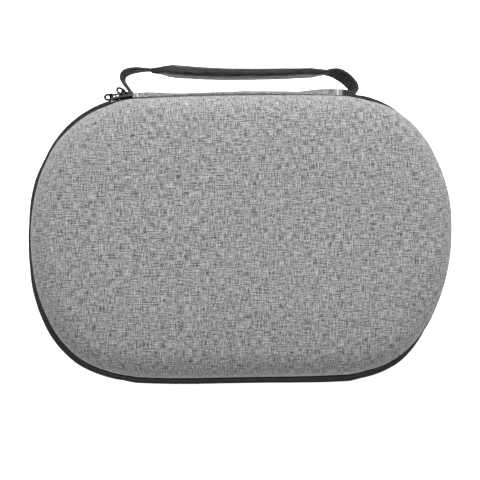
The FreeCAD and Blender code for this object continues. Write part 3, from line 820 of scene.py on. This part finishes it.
# Body, side of the parting, arcs, the teeth's offset in pitches, and their heads' place over the parting.
ZIP_SIDES = (("lid", 1, LID_ARCS, 0.0, 0.36), ("base", -1, ZIP_ARCS, 0.5, -0.62))
ZIP_SEAM_AT = 11.0
ZIP_STITCH, ZIP_STITCH_GAP, ZIP_THREAD = 2.5, 0.7, 0.24


def zip_seam(name, body, arcs, side):
    path, ups = tape_line(arcs, ZIP_SEAM_AT, -TAPE - 0.1, side)
    seam = stitch_object(name, path, ups, ZIP_STITCH, ZIP_STITCH_GAP, ZIP_THREAD)
    return dress(seam, THREAD, body)


def build_zip():
    for body, side, arcs, offset, head in ZIP_SIDES:
        tape = band_object(body + "_tape", arcs, tape_profile(), side, step=2.0, zip_share=1.0)
        dress(tape, TAPE_CLOTH, body)
        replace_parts(tape, body + "_zip_tape")
        teeth = teeth_object(body + "_coil", arcs, side, offset, head)
        dress(teeth, NYLON, body)
        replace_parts(teeth, body + "_zip_coil")
        core = cord_inside(body + "_coil_core", arcs, side)
        dress(core, TAPE_CLOTH, body)
        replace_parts(zip_seam(body + "_seam", body, arcs, side), body + "_zip_seam")
    beside = [left_corner(SPINE_TURN, SLIDERS_COVER_TO)]
    strip = [wall(13.0, 0), wall(0.9, 0), wall(0.9, -TAPE), wall(13.0, -TAPE)]
    sewn = band_object("lid_tape_beside_sliders", beside, strip, 1, step=1.5)
    dress(sewn, TAPE_CLOTH, "lid")
    zip_seam("lid_seam_beside_sliders", "lid", beside, 1)
    for letter, turn, lean in PULLS:
        pull, web = pull_object("pull_ring_" + letter, turn, lean)
        dress(pull, METAL, "pull_" + letter)
        dress(web, METAL, "pull_" + letter)
        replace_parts(pull, "zip_pull_" + letter)
    for node in ("zip_slider_a", "zip_slider_b", "zip_end_stops"):
        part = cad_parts[node]
        dress(part, METAL)
        bevel = part.modifiers.new("edges", "BEVEL")
        bevel.width = 0.18 * MM
        bevel.segments = 2
        bevel.limit_method = "ANGLE"
        bevel.angle_limit = math.radians(35)


# ---------------------------------------------------------------- spine

GUSSET_BULGE = (
    (-79.3, 6.6), (-69.0, 6.8), (-61.0, 6.3), (-54.0, 5.5),
    (-46.0, 4.8), (-31.0, 4.5), (-18.0, 4.8), (-3.0, 5.0),
    (4.0, 5.3), (34.0, 5.2), (42.0, 5.0), (50.0, 5.6), (57.0, 6.7), (65.0, 7.9), (73.0, 8.4), (79.3, 8.0),
)
# The gusset's section from the lid's wall over the folded seam and the belly to the base's wall:
# height over the parting, and how far out, as millimetres plus a share of the bulge.
GUSSET_SECTION = (
    (13.0, None, 0.0), (11.4, None, 0.15), (9.6, None, 0.4), (8.2, 0.1, 0.0), (7.4, 0.75, 0.0),
    (6.6, 1.05, 0.0), (5.4, 1.2, 0.0), (4.9, 1.4, 0.0), (5.3, 1.68, 0.0), (6.1, 1.9, 0.0),
    (6.5, 2.2, 0.0), (6.35, 2.5, 0.02), (5.9, 2.4, 0.12), (5.1, 1.9, 0.36), (4.0, 1.1, 0.65),
    (2.6, 0.4, 0.87), (1.2, 0.08, 0.98), (0.0, 0.0, 1.0), (-1.4, 0.0, 0.98), (-3.0, 0.0, 0.9),
    (-4.8, 0.0, 0.76), (-6.6, -0.1, 0.58), (-8.4, -0.3, 0.38), (-10.0, -0.6, 0.2), (-11.5, None, 0.4),
    (-13.0, None, 0.0),
)
GUSSET_CLOTH_THICKNESS = 0.38
TACK_X = 75.5
SEAM_AT = (6.05, 1.55)
SEAM_FROM = -66.0


def gusset_bulge(x):
    """How far the folded gusset stands out at x: it is slack, so it bulges more towards its ends."""
    table = np.array(GUSSET_BULGE)
    near = np.interp([x - 3, x, x + 3], table[:, 0], table[:, 1])
    return float(near.mean()) + 0.08 * noise.noise(Vector((x / 9.0, 0.3, 1.7)))


def gusset_ring(row):
    """The gusset's outer section at an outline row, as points (n, z)."""
    x, shell = row[0], row[5]
    bulge = gusset_bulge(x)
    ring = []
    for z, out, share in GUSSET_SECTION:
        if out is None:
            n = wall(abs(z))[0] + 0.12 + share + shell
        else:
            n = out + share * bulge
        belly = math.cos(min(1.0, abs(z) / 9.0) * math.pi / 2)
        n += 0.25 * belly * noise.noise(Vector((x / 13.0, z / 5.0, 4.2))) if z < 4 else 0.0
        ring.append((n, z))
    return ring


def inner_ring(ring, thickness):
    """The same section moved inwards by the cloth's thickness."""
    made = []
    for i, (n, z) in enumerate(ring):
        before, after = ring[max(i - 1, 0)], ring[min(i + 1, len(ring) - 1)]
        dn, dz = after[0] - before[0], after[1] - before[1]
        size = math.hypot(dn, dz)
        made.append((n + dz / size * thickness, z - dn / size * thickness))
    return made


def on_row(row, n, z):
    return (row[0] + row[2] * n, row[1] + row[3] * n, PARTING + z)


def build_spine():
    """The gusset that joins the shells behind, its folded seam and the pale tacks at its ends."""
    rows, _ = sample_arcs([ARCS["spine"]], 1.2)
    points = []
    for row in rows:
        ring = gusset_ring(row)
        section = ring + inner_ring(ring, GUSSET_CLOTH_THICKNESS)[::-1]
        points.append([on_row(row, n, z) for n, z in section])
    gusset = tube_object("gusset", points, rows[:, 4], path_lengths(points[0] + [points[0][0]]))
    gusset.data.materials.append(GUSSET_CLOTH)
    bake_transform(gusset)
    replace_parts(gusset, "spine_gusset")
    sewn = [on_row(r, SEAM_AT[1], SEAM_AT[0]) for r in rows if r[0] > SEAM_FROM]
    seam = stitch_object("gusset_seam", sewn, [(0, 0, 1)] * len(sewn), 2.6, 0.6, 0.36)
    tacks = [seam]
    for side, name in ((-1, "gusset_tack_left"), (1, "gusset_tack_right")):
        row = min(rows, key=lambda r: abs(r[0] - side * TACK_X))
        outside = [p for p in gusset_ring(row) if 2.5 < p[1] < 6.6 and p[0] > 2.1]
        path = [on_row(row, n + 0.1, z + 0.1) for n, z in outside]
        dense = smooth_path(path, 0.4)
        ups = [(row[2], row[3], (z - PARTING) / 6) for z in dense[:, 2]]
        tacks.append(stitch_object(name, dense, ups, 1.9, 0.25, 0.46))
    for piece in tacks:
        piece.data.materials.append(GUSSET_THREAD if piece is seam else PALE_THREAD)
        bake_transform(piece)
    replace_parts(tacks[1], "gusset_tacks")


# ---------------------------------------------------------------- handle

SMOOTH_OVER = 15
# Middle lines of the loops, x and y at the handle's height, and how far the webbing leans at each point.
LEFT_STRAP = (
    (-80.6, 109.4), (-81.4, 111.9), (-84.4, 116.6), (-87.4, 120.8), (-88.9, 124.2), (-87.9, 128.0),
    (-83.8, 130.4),
    (-78.3, 131.4), (-72.8, 131.6), (-66.5, 131.3), (-60.0, 131.1), (-53.0, 130.4),
)
LEFT_LEANS = (0, 2, 5, 6, 5, 3, 1, -2, -7, -10, -12, -12)
RIGHT_STRAP = (
    (55.0, 128.2), (62.0, 128.3), (68.2, 128.1), (73.7, 128.0), (78.6, 126.9), (83.8, 123.9), (88.2, 119.9),
    (90.9, 116.0), (91.0, 112.6), (88.2, 109.9), (84.3, 109.0),
)
RIGHT_LEANS = (-9, -6, -5, 5, 16, 18, 17, 16, 11, 3, 0)


def strap_object(name, points, leans):
    """Webbing along a level path, its width standing up and leaning over by an angle along the way."""
    path = smooth_path([(x, y, HANDLE_Z) for x, y in points], 0.32)
    lengths = path_lengths(path)
    knots = path_lengths([(x, y, 0) for x, y in points])
    lean = np.radians(np.interp(lengths / lengths[-1], knots / knots[-1], leans))
    padded = np.pad(lean, SMOOTH_OVER // 2, mode="edge")
    lean = np.convolve(padded, np.ones(SMOOTH_OVER) / SMOOTH_OVER, "valid")
    tangents = np.gradient(path, axis=0)
    side = np.cross(tangents, (0, 0, 1))
    side /= np.linalg.norm(side, axis=1)[:, None]
    normals = side * np.cos(lean)[:, None] + np.outer(np.sin(lean), (0, 0, 1))
    rib = 0.5 - 0.5 * np.cos(2 * math.pi * lengths / RIB_PITCH)
    half = WEBBING / 2 * (0.75 + 0.25 * rib)
    width = WEBBING_WIDTH / 2 * (0.985 + 0.015 * rib)
    section = strap_section()
    rings = tube_rings(path, normals, width, half, section)
    return tube_object(name, rings, lengths, around_section(section, WEBBING / 2, WEBBING_WIDTH / 2))


# The grip's middle line: x, y, half thickness, and the height of the sewn flange.
GRIP_LINE = (
    (-66.0, 130.9, 2.1, 0.0), (-61.0, 130.8, 2.6, 0.0), (-56.0, 130.6, 3.0, 1.7), (-50.0, 129.9, 3.2, 2.2),
    (-46.0, 129.4, 3.3, 2.2), (-37.0, 128.7, 3.3, 2.1), (-27.0, 128.0, 3.25, 2.0), (-12.0, 127.3, 3.1, 1.9),
    (4.0, 127.1, 3.0, 1.8), (20.0, 127.1, 2.95, 1.7), (36.0, 127.3, 2.85, 1.6), (48.0, 127.6, 2.65, 1.4),
    (55.0, 127.8, 2.5, 1.3), (60.0, 127.8, 2.5, 0.0), (64.5, 128.0, 2.3, 0.0), (67.6, 128.1, 1.9, 0.0),
)
FLANGE_ENDS = (-56.5, 57.0)
FLANGE_HALF_THICKNESS = 1.0
GRIP_HALF_WIDTH = 9.2


def grip_section(thickness, width, flange):
    """The cover's outline across the grip: outwards first, then up. The sewn flange is on the outer side."""
    quarter = [math.pi / 2 * k / 9 for k in range(10)]
    corner = [(abs(math.cos(a)) ** 0.5 * thickness, abs(math.sin(a)) ** 0.42 * width) for a in quarter]
    half = FLANGE_HALF_THICKNESS
    outer = [p for p in corner[::-1] if p[1] > half + 0.5]
    flank = [(thickness, width * 0.66), (thickness, width * 0.4), (thickness, half + 0.5)]
    outer = sorted({p for p in outer + flank}, key=lambda p: (-p[1], p[0]))
    tip = thickness + max(flange, 0.02)
    rise = tip - thickness
    lip = [(thickness + 0.3 * rise, half), (thickness + 0.8 * rise, half), (tip, half * 0.55)]
    inner = [(-p[0], p[1]) for p in corner] + [(-thickness, width * share) for share in (0.62, 0.4, 0.2)]
    inner = sorted({(round(p[0], 4), round(p[1], 4)) for p in inner}, key=lambda p: p[1])
    upper = [p for p in inner if p[1] > 0.01]
    lower = [(p[0], -p[1]) for p in upper[::-1]]
    outside = outer + lip
    outside += [(p[0], -p[1]) for p in outside[::-1]]
    return outside + lower + [(-thickness, 0.0)] + upper


# Near its ends the grip narrows and leans: how far in each end reaches, and the lean there in degrees.
GRIP_END_REACH = (13, 10)
GRIP_END_LEAN = (-13.0, -7.0)
GRIP_END_PINCH = 0.85
# The leather creases most at these places: x, spread along x, and strength.
CREASED_AT = ((-52, 11, 1.0), (60, 7, 0.5))
CREASE = 0.34


def grip_column(p, o, thickness, flange, near):
    """One ring of the cover round p: o points away from the case, near is how near each end is, 0 to 1."""
    width = GRIP_HALF_WIDTH - GRIP_END_PINCH * max(near) ** 2
    lean = math.radians(sum(most * min(1.0, share * 1.6) for most, share in zip(GRIP_END_LEAN, near)))
    rough = 0.25 + sum(most * math.exp(-(((p[0] - x) / spread) ** 2)) for x, spread, most in CREASED_AT)
    column = []
    for a, b in grip_section(thickness, width, flange):
        fold = noise.noise(Vector((p[0] / 4.6, b / 2.6, 2.0)))
        fold += 0.5 * noise.noise(Vector((p[0] / 15.0, b / 1.7, 5.0)))
        body = 1.0 if abs(a) <= thickness + 0.01 else 0.25
        a += math.copysign(CREASE * rough * fold * body, a)
        out, up = a * math.cos(lean) + b * math.sin(lean), b * math.cos(lean) - a * math.sin(lean)
        column.append(p + o * out + np.array([0, 0, up]))
    return column


def build_grip():
    line = np.array(GRIP_LINE)
    path = smooth_path([(x, y, HANDLE_Z) for x, y in line[:, :2]], 0.6)
    out = -np.cross(np.gradient(path, axis=0), (0, 0, 1))
    out /= np.linalg.norm(out, axis=1)[:, None]
    points, seam = [], []
    for p, o in zip(path, out):
        thickness, flange = (float(np.interp(p[0], line[:, 0], line[:, k])) for k in (2, 3))
        sewn = np.clip((p[0] - FLANGE_ENDS[0]) / 4.0, 0, 1) * np.clip((FLANGE_ENDS[1] - p[0]) / 1.0, 0, 1)
        from_ends = (p[0] - line[0, 0], line[-1, 0] - p[0])
        near = [max(0.0, 1 - away / reach) for away, reach in zip(from_ends, GRIP_END_REACH)]
        points.append(grip_column(p, o, thickness, flange * sewn, near))
        if sewn > 0.99:
            seam.append(p + o * (thickness + 0.62 * flange))
    around = around_section(grip_section(2.3, GRIP_HALF_WIDTH, 2.0))
    grip = tube_object("grip_cover", points, path_lengths(path), around, 50.0)
    dress(grip, LEATHER, "handle")
    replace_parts(grip, "grip_wrap", "grip_core")
    for side, name in ((1, "grip_thread_upper"), (-1, "grip_thread_lower")):
        on_flange = np.array(seam) + (0, 0, side * 1.02)
        row = stitch_object(name, on_flange, [(0, 0, side)] * len(seam), 3.4, 1.3, 0.3)
        dress(row, GRIP_THREAD, "handle")
        if side > 0:
            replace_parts(row, "grip_stitching")


def build_straps():
    left = strap_object("strap_left", LEFT_STRAP, LEFT_LEANS)
    right = strap_object("strap_right", RIGHT_STRAP, RIGHT_LEANS)
    ends = ((left, "strap_loop_left", -82, 112.5, 130.5), (right, "strap_loop_right", 90, 109.5, 119.5))
    for strap, node, x, near, far in ends:
        strap.data.materials.append(WEB)
        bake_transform(strap)
        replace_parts(strap, node)


TAB_LOW, TAB_HIGH = 4.4, 20.4
TAB_LAYERS = ((1.1, 3.9), (4.0, 6.8), (6.9, 9.8))
TAB_OVER_ZIP = 4.0
TAB_TACK_OUT = 10.05


def tab_profile():
    """Three folded layers of webbing, rounded at their edges, over the zip tape."""
    low, high, over = TAB_LOW, TAB_HIGH, TAB_OVER_ZIP
    outline = [wall(8.0, -1.0), (over, low)]
    for inner, outer in TAB_LAYERS:
        a, b = wall(low, -max(inner, over + 0.6)), wall(low, -outer)
        if outer > over + 0.6:
            outline += [(a[0], low + 0.3), (a[0] + 0.3, low), (b[0] - 0.3, low), (b[0], low + 0.35)]
    for inner, outer in TAB_LAYERS[::-1]:
        a, b = wall(high, -outer), wall(high, -inner)
        outline += [(a[0], high - 0.35), (a[0] - 0.3, high), (b[0] + 0.3, high), (b[0], high - 0.3)]
    return outline


def build_tabs():
    """The folded, sewn-down ends of the handle's webbing."""
    for side, stretch in (("left", left_corner(3.3, 10.8)), ("right", right_corner(3.6, 11.5))):
        tab = band_object("strap_end_" + side, [stretch], tab_profile(), -1, step=0.3, ribs=0.16, sharp=60.0)
        dress(tab, WEB, "base")
        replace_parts(tab, "strap_tab_" + side)
        rows, _ = sample_arcs([stretch], 0.5)
        first, last = rows[3], rows[-4]
        path, ups = [], []
        for k in range(15):
            row = first if k % 2 else last
            n, z = wall(6.2 + k * 0.9, -TAB_TACK_OUT)
            path.append((row[0] + row[2] * n, row[1] + row[3] * n, PARTING - z))
            ups.append((row[2], row[3], 0))
        tack = stitch_object("strap_tack_" + side, path, ups, 2.0, 0.5, 0.26)
        dress(tack, THREAD, "base")


# ---------------------------------------------------------------- inside


def rounded_ring(half_x, half_y, radius, count=24):
    """A rounded rectangle as points, the same number for every size."""
    points = []
    for q, (sx, sy) in enumerate(((1, 1), (-1, 1), (-1, -1), (1, -1))):
        for k in range(count):
            angle = math.pi / 2 * (q + k / (count - 1))
            x = sx * (half_x - radius) + radius * math.cos(angle)
            y = sy * (half_y - radius) + radius * math.sin(angle)
            points.append((x, y))
    return points


# Half lengths along x and y and corner radius of the island and its well, and their heights.
ISLAND = (55, 32, 24)
ISLAND_HEIGHT = 28.0
WELL = (43, 20, 14)
WELL_DEPTH = 20.0
TRAY_PAD = 8.0
# How far in each ring is: over the island's foot, and below the island's top.
ISLAND_FOOT = ((-0.3, 0), (0, 1.5))
ISLAND_EDGE = ((0, 6), (0.5, 3.4), (1.8, 1.4), (4.0, 0.3), (7.0, 0))
WELL_EDGE = ((-1.6, 0.1), (-0.5, 0.9), (0, 2.4), (0.2, 17), (1.2, 19.4), (3.5, WELL_DEPTH))


def inset_ring(size, inset, z):
    return [(x, y, z) for x, y in rounded_ring(*(side - inset for side in size))]


def build_island():
    foot = LINED_DEPTH + TRAY_PAD
    top = foot + ISLAND_HEIGHT
    points = [inset_ring(ISLAND, inset, foot + up) for inset, up in ISLAND_FOOT]
    points += [inset_ring(ISLAND, inset, top - down) for inset, down in ISLAND_EDGE]
    points += [inset_ring(WELL, inset, top - down) for inset, down in WELL_EDGE]
    well = points[-1]
    points += [[(x * share, y * share, z) for x, y, z in well] for share in (0.66, 0.33, 0.0)]
    points.insert(0, [(x * 0.5, y * 0.5, z) for x, y, z in points[0]])
    points.insert(0, [(0, 0, foot) for _ in points[0]])
    uv = separable_uv(np.arange(len(points)) * 3.0, np.arange(len(points[0]) + 1) * 3.0)
    island = grid_object("tray_island_foam", points, uv, False, True, False, 70.0)
    dress(island, LINING, "base")
    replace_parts(island, "tray_island")


def build_pad():
    outer, inner = LINED_DEPTH + 0.05, LINED_DEPTH + TRAY_PAD
    floor_side = surface_profile(BASE_HEIGHT, outer)[27:]
    top_side = surface_profile(BASE_HEIGHT, inner)[27:]
    edge = [(top_side[0][0] + 1.6, top_side[0][1] + 3.4), (top_side[0][0] + 0.4, top_side[0][1] + 0.9)]
    rows, _ = sample_arcs(list(ARCS.values()), 2.5, closed=True)
    plateau = rows[:, 0:2] - PLATEAU_INSET * rows[:, 2:4]
    columns = [(0, floor_side[-1][1], share) for share in (0.0, 0.25, 0.6)]
    columns += [(n, z, 1.0) for n, z in floor_side[::-1] + edge + top_side]
    columns += [(0, top_side[-1][1], share) for share in (0.8, 0.6, 0.4, 0.2, 0.0)]
    points = np.zeros((len(rows), len(columns), 3))
    for j, (n, z, share) in enumerate(columns):
        points[:, j, 0:2] = rows[:, 0:2] + n * rows[:, 2:4] if share == 1.0 else plateau * share
        points[:, j, 2] = PARTING - z
    uv = separable_uv(np.arange(len(rows) + 1) * 2.5, np.arange(len(columns)) * 4.0)
    pad = grid_object("tray_pad_foam", points, uv, True, False, False, 60.0)
    dress(pad, LINING, "base")
    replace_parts(pad, "tray_pad")


POCKET_HEIGHT = 34.0
POCKET_MOUTH_Y = 40.0
POCKET_CLEAR = 0.998
POCKET_HALF_LENGTH = 140.0
POCKET_SAG = 3.2


def pocket_front(x):
    """The y of the pocket's sewn edge at x."""
    rows, _ = sample_arcs([ARCS[k] for k in FRONT_ARCS], 2.0)
    n = wall(POCKET_HEIGHT, LINED_DEPTH + 0.5)[0]
    edge = rows[:, 0:2] + n * rows[:, 2:4]
    low = edge[edge[:, 1] < 0]
    order = np.argsort(low[:, 0])
    return np.interp(x, low[order, 0], low[order, 1])


def pocket_sag(x, y, front):
    """How far the mesh hangs down, most a little nearer to its mouth."""
    across = max(0.0, 1 - (x / POCKET_HALF_LENGTH) ** 2)
    along = (y - front) / (POCKET_MOUTH_Y - front)
    return POCKET_SAG * across * math.sin(min(1.0, along * 1.15) * math.pi) ** 0.8 if 0 < along < 1 else 0.0


def pocket_reach(y):
    """Half the pocket's width at y."""
    rows, _ = sample_arcs([ARCS["right"], ARCS["spine_right"]], 2.0)
    n = wall(POCKET_HEIGHT, LINED_DEPTH + 0.6)[0]
    edge = rows[:, 0:2] + n * rows[:, 2:4]
    return float(np.interp(abs(y), edge[:, 1], edge[:, 0]))


def build_pocket_mesh():
    points, uv = [], []
    middle = pocket_reach(0.0) * POCKET_CLEAR
    for u in np.linspace(-1, 1, 90):
        column, marks = [], []
        front = float(pocket_front(u * middle))
        for t in np.linspace(0, 1, 50):
            y = front + (POCKET_MOUTH_Y - front) * t
            limit = pocket_reach(y) * POCKET_CLEAR
            x = max(-limit, min(limit, u * middle))
            z = PARTING + POCKET_HEIGHT + 0.4 - pocket_sag(x, y, front)
            column.append((x, y, z))
            marks.append((x, y))
        points.append(column)
        uv.append(marks)
    sheet = grid_object("pocket_mesh_sheet", points, uv, sharp=80.0)
    dress(sheet, MESH, "lid")
    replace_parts(sheet, "pocket_mesh")


ELASTIC_HALF_WIDTH = 3.6
ELASTIC_HALF_THICKNESS = 0.75


def build_elastic():
    """The gathered elastic along the pocket's mouth."""
    reach, count = pocket_reach(POCKET_MOUTH_Y) - 1.0, 420
    y, z = POCKET_MOUTH_Y - 3.4, PARTING + POCKET_HEIGHT - 0.4
    path = [(x, y, z) for x in np.linspace(-reach, reach, count)]
    wave = 0.35 * np.sin(np.arange(count) * 1.05)
    normals = [(0, 0.06 * w, 1) for w in wave]
    section = strap_section(8)
    thickness = ELASTIC_HALF_THICKNESS + 0.25 * wave
    rings = tube_rings(path, normals, np.full(count, ELASTIC_HALF_WIDTH), thickness, section)
    around = around_section(section, 0.8, ELASTIC_HALF_WIDTH)
    elastic = tube_object("pocket_elastic_band", rings, path_lengths(path), around)
    dress(elastic, ELASTIC, "lid")
    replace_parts(elastic, "pocket_elastic")


# The tape's section over the parting and into the lining.
HEM_SECTION = ((29.0, 0.02), (34.0, 0.02), (34.0, 0.9), (33.4, 1.1), (29.6, 1.1), (29.0, 0.9))


def build_hem():
    """The tape that the pocket's edge is sewn under."""
    strip = [wall(z, LINED_DEPTH + depth) for z, depth in HEM_SECTION]
    arcs = [ARCS[k] for k in FRONT_ARCS]
    arcs[0] = (*ARCS["left"][:3], 180.0, ARCS["left"][4])
    arcs[-1] = (*ARCS["right"][:3], ARCS["right"][3], 0.0)
    hem = band_object("pocket_edge_tape", arcs, strip, 1)
    dress(hem, TAPE_CLOTH, "lid")
    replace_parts(hem, "pocket_tape")


# ---------------------------------------------------------------- stage


def backdrop():
    """A round floor whose edge curves up into a low wall, as in a photographer's cove."""
    curve = [math.pi / 2 * k / 10 for k in range(11)]
    outline = [(r, 0.0) for r in (0, 300, 700, 1200, 1800)]
    outline += [(2300 + 500 * math.sin(a), 500 - 500 * math.cos(a)) for a in curve] + [(2800, 1150)]
    turns = [2 * math.pi * k / 96 for k in range(96)]
    points = [[(r * math.cos(a), r * math.sin(a), z - 0.2) for r, z in outline] for a in turns]
    uv = separable_uv(np.arange(97) * 10.0, path_lengths([(r, z, 0) for r, z in outline]))
    return grid_object("floor", points, uv, closed_u=True)


WORLD = 0.05
# Name, place in metres, size in metres and power in watts.
LIGHTS = (
    ("key", (0.1, 0.65, 1.0), 0.9, 18.0),
    ("top", (-0.2, 0.3, 1.9), 1.5, 8.0),
)
LIT_POINT = (0, 0, 0.05)


def build_stage():
    floor = backdrop()
    floor.data.materials.append(floor_material())
    world = bpy.data.worlds.new("studio")
    bpy.context.scene.world = world
    world.use_nodes = True
    background = world.node_tree.nodes["Background"]
    background.inputs["Color"].default_value = (1, 1, 1, 1)
    background.inputs["Strength"].default_value = WORLD
    for name, place, size, power in LIGHTS:
        data = bpy.data.lights.new(name, "AREA")
        data.shape = "DISK"
        data.size = size
        data.energy = power
        light = bpy.data.objects.new(name, data)
        bpy.context.scene.collection.objects.link(light)
        light.location = place
        light.rotation_euler = (Vector(LIT_POINT) - Vector(place)).to_track_quat("-Z", "Y").to_euler()


CAMERA_PLACE = (-18.7, -29.1, PARTING + 664.8)
CAMERA_AIM = (math.tan(0.028), math.tan(0.040), -1.0)
CAMERA_UP = (0.016, 1.0, 0.0)
CAMERA_LENS = 65.7


def build_camera():
    data = bpy.data.cameras.new("camera")
    data.lens = CAMERA_LENS
    data.sensor_width = 36.0
    camera = bpy.data.objects.new("camera", data)
    bpy.context.scene.collection.objects.link(camera)
    camera.location = Vector(CAMERA_PLACE) * MM
    forward = Vector(CAMERA_AIM).normalized()
    right = forward.cross(Vector(CAMERA_UP)).normalized()
    up = right.cross(forward)
    turn = Matrix((right, up, -forward)).transposed()
    camera.rotation_mode = "QUATERNION"
    camera.rotation_quaternion = turn.to_quaternion()
    bpy.context.scene.camera = camera


bpy.context.scene.view_settings.view_transform = "Standard"
build_shells()
build_zip()
build_spine()
build_straps()
build_grip()
build_tabs()
build_island()
build_pad()
build_pocket_mesh()
build_elastic()
build_hem()
build_stage()
build_camera()
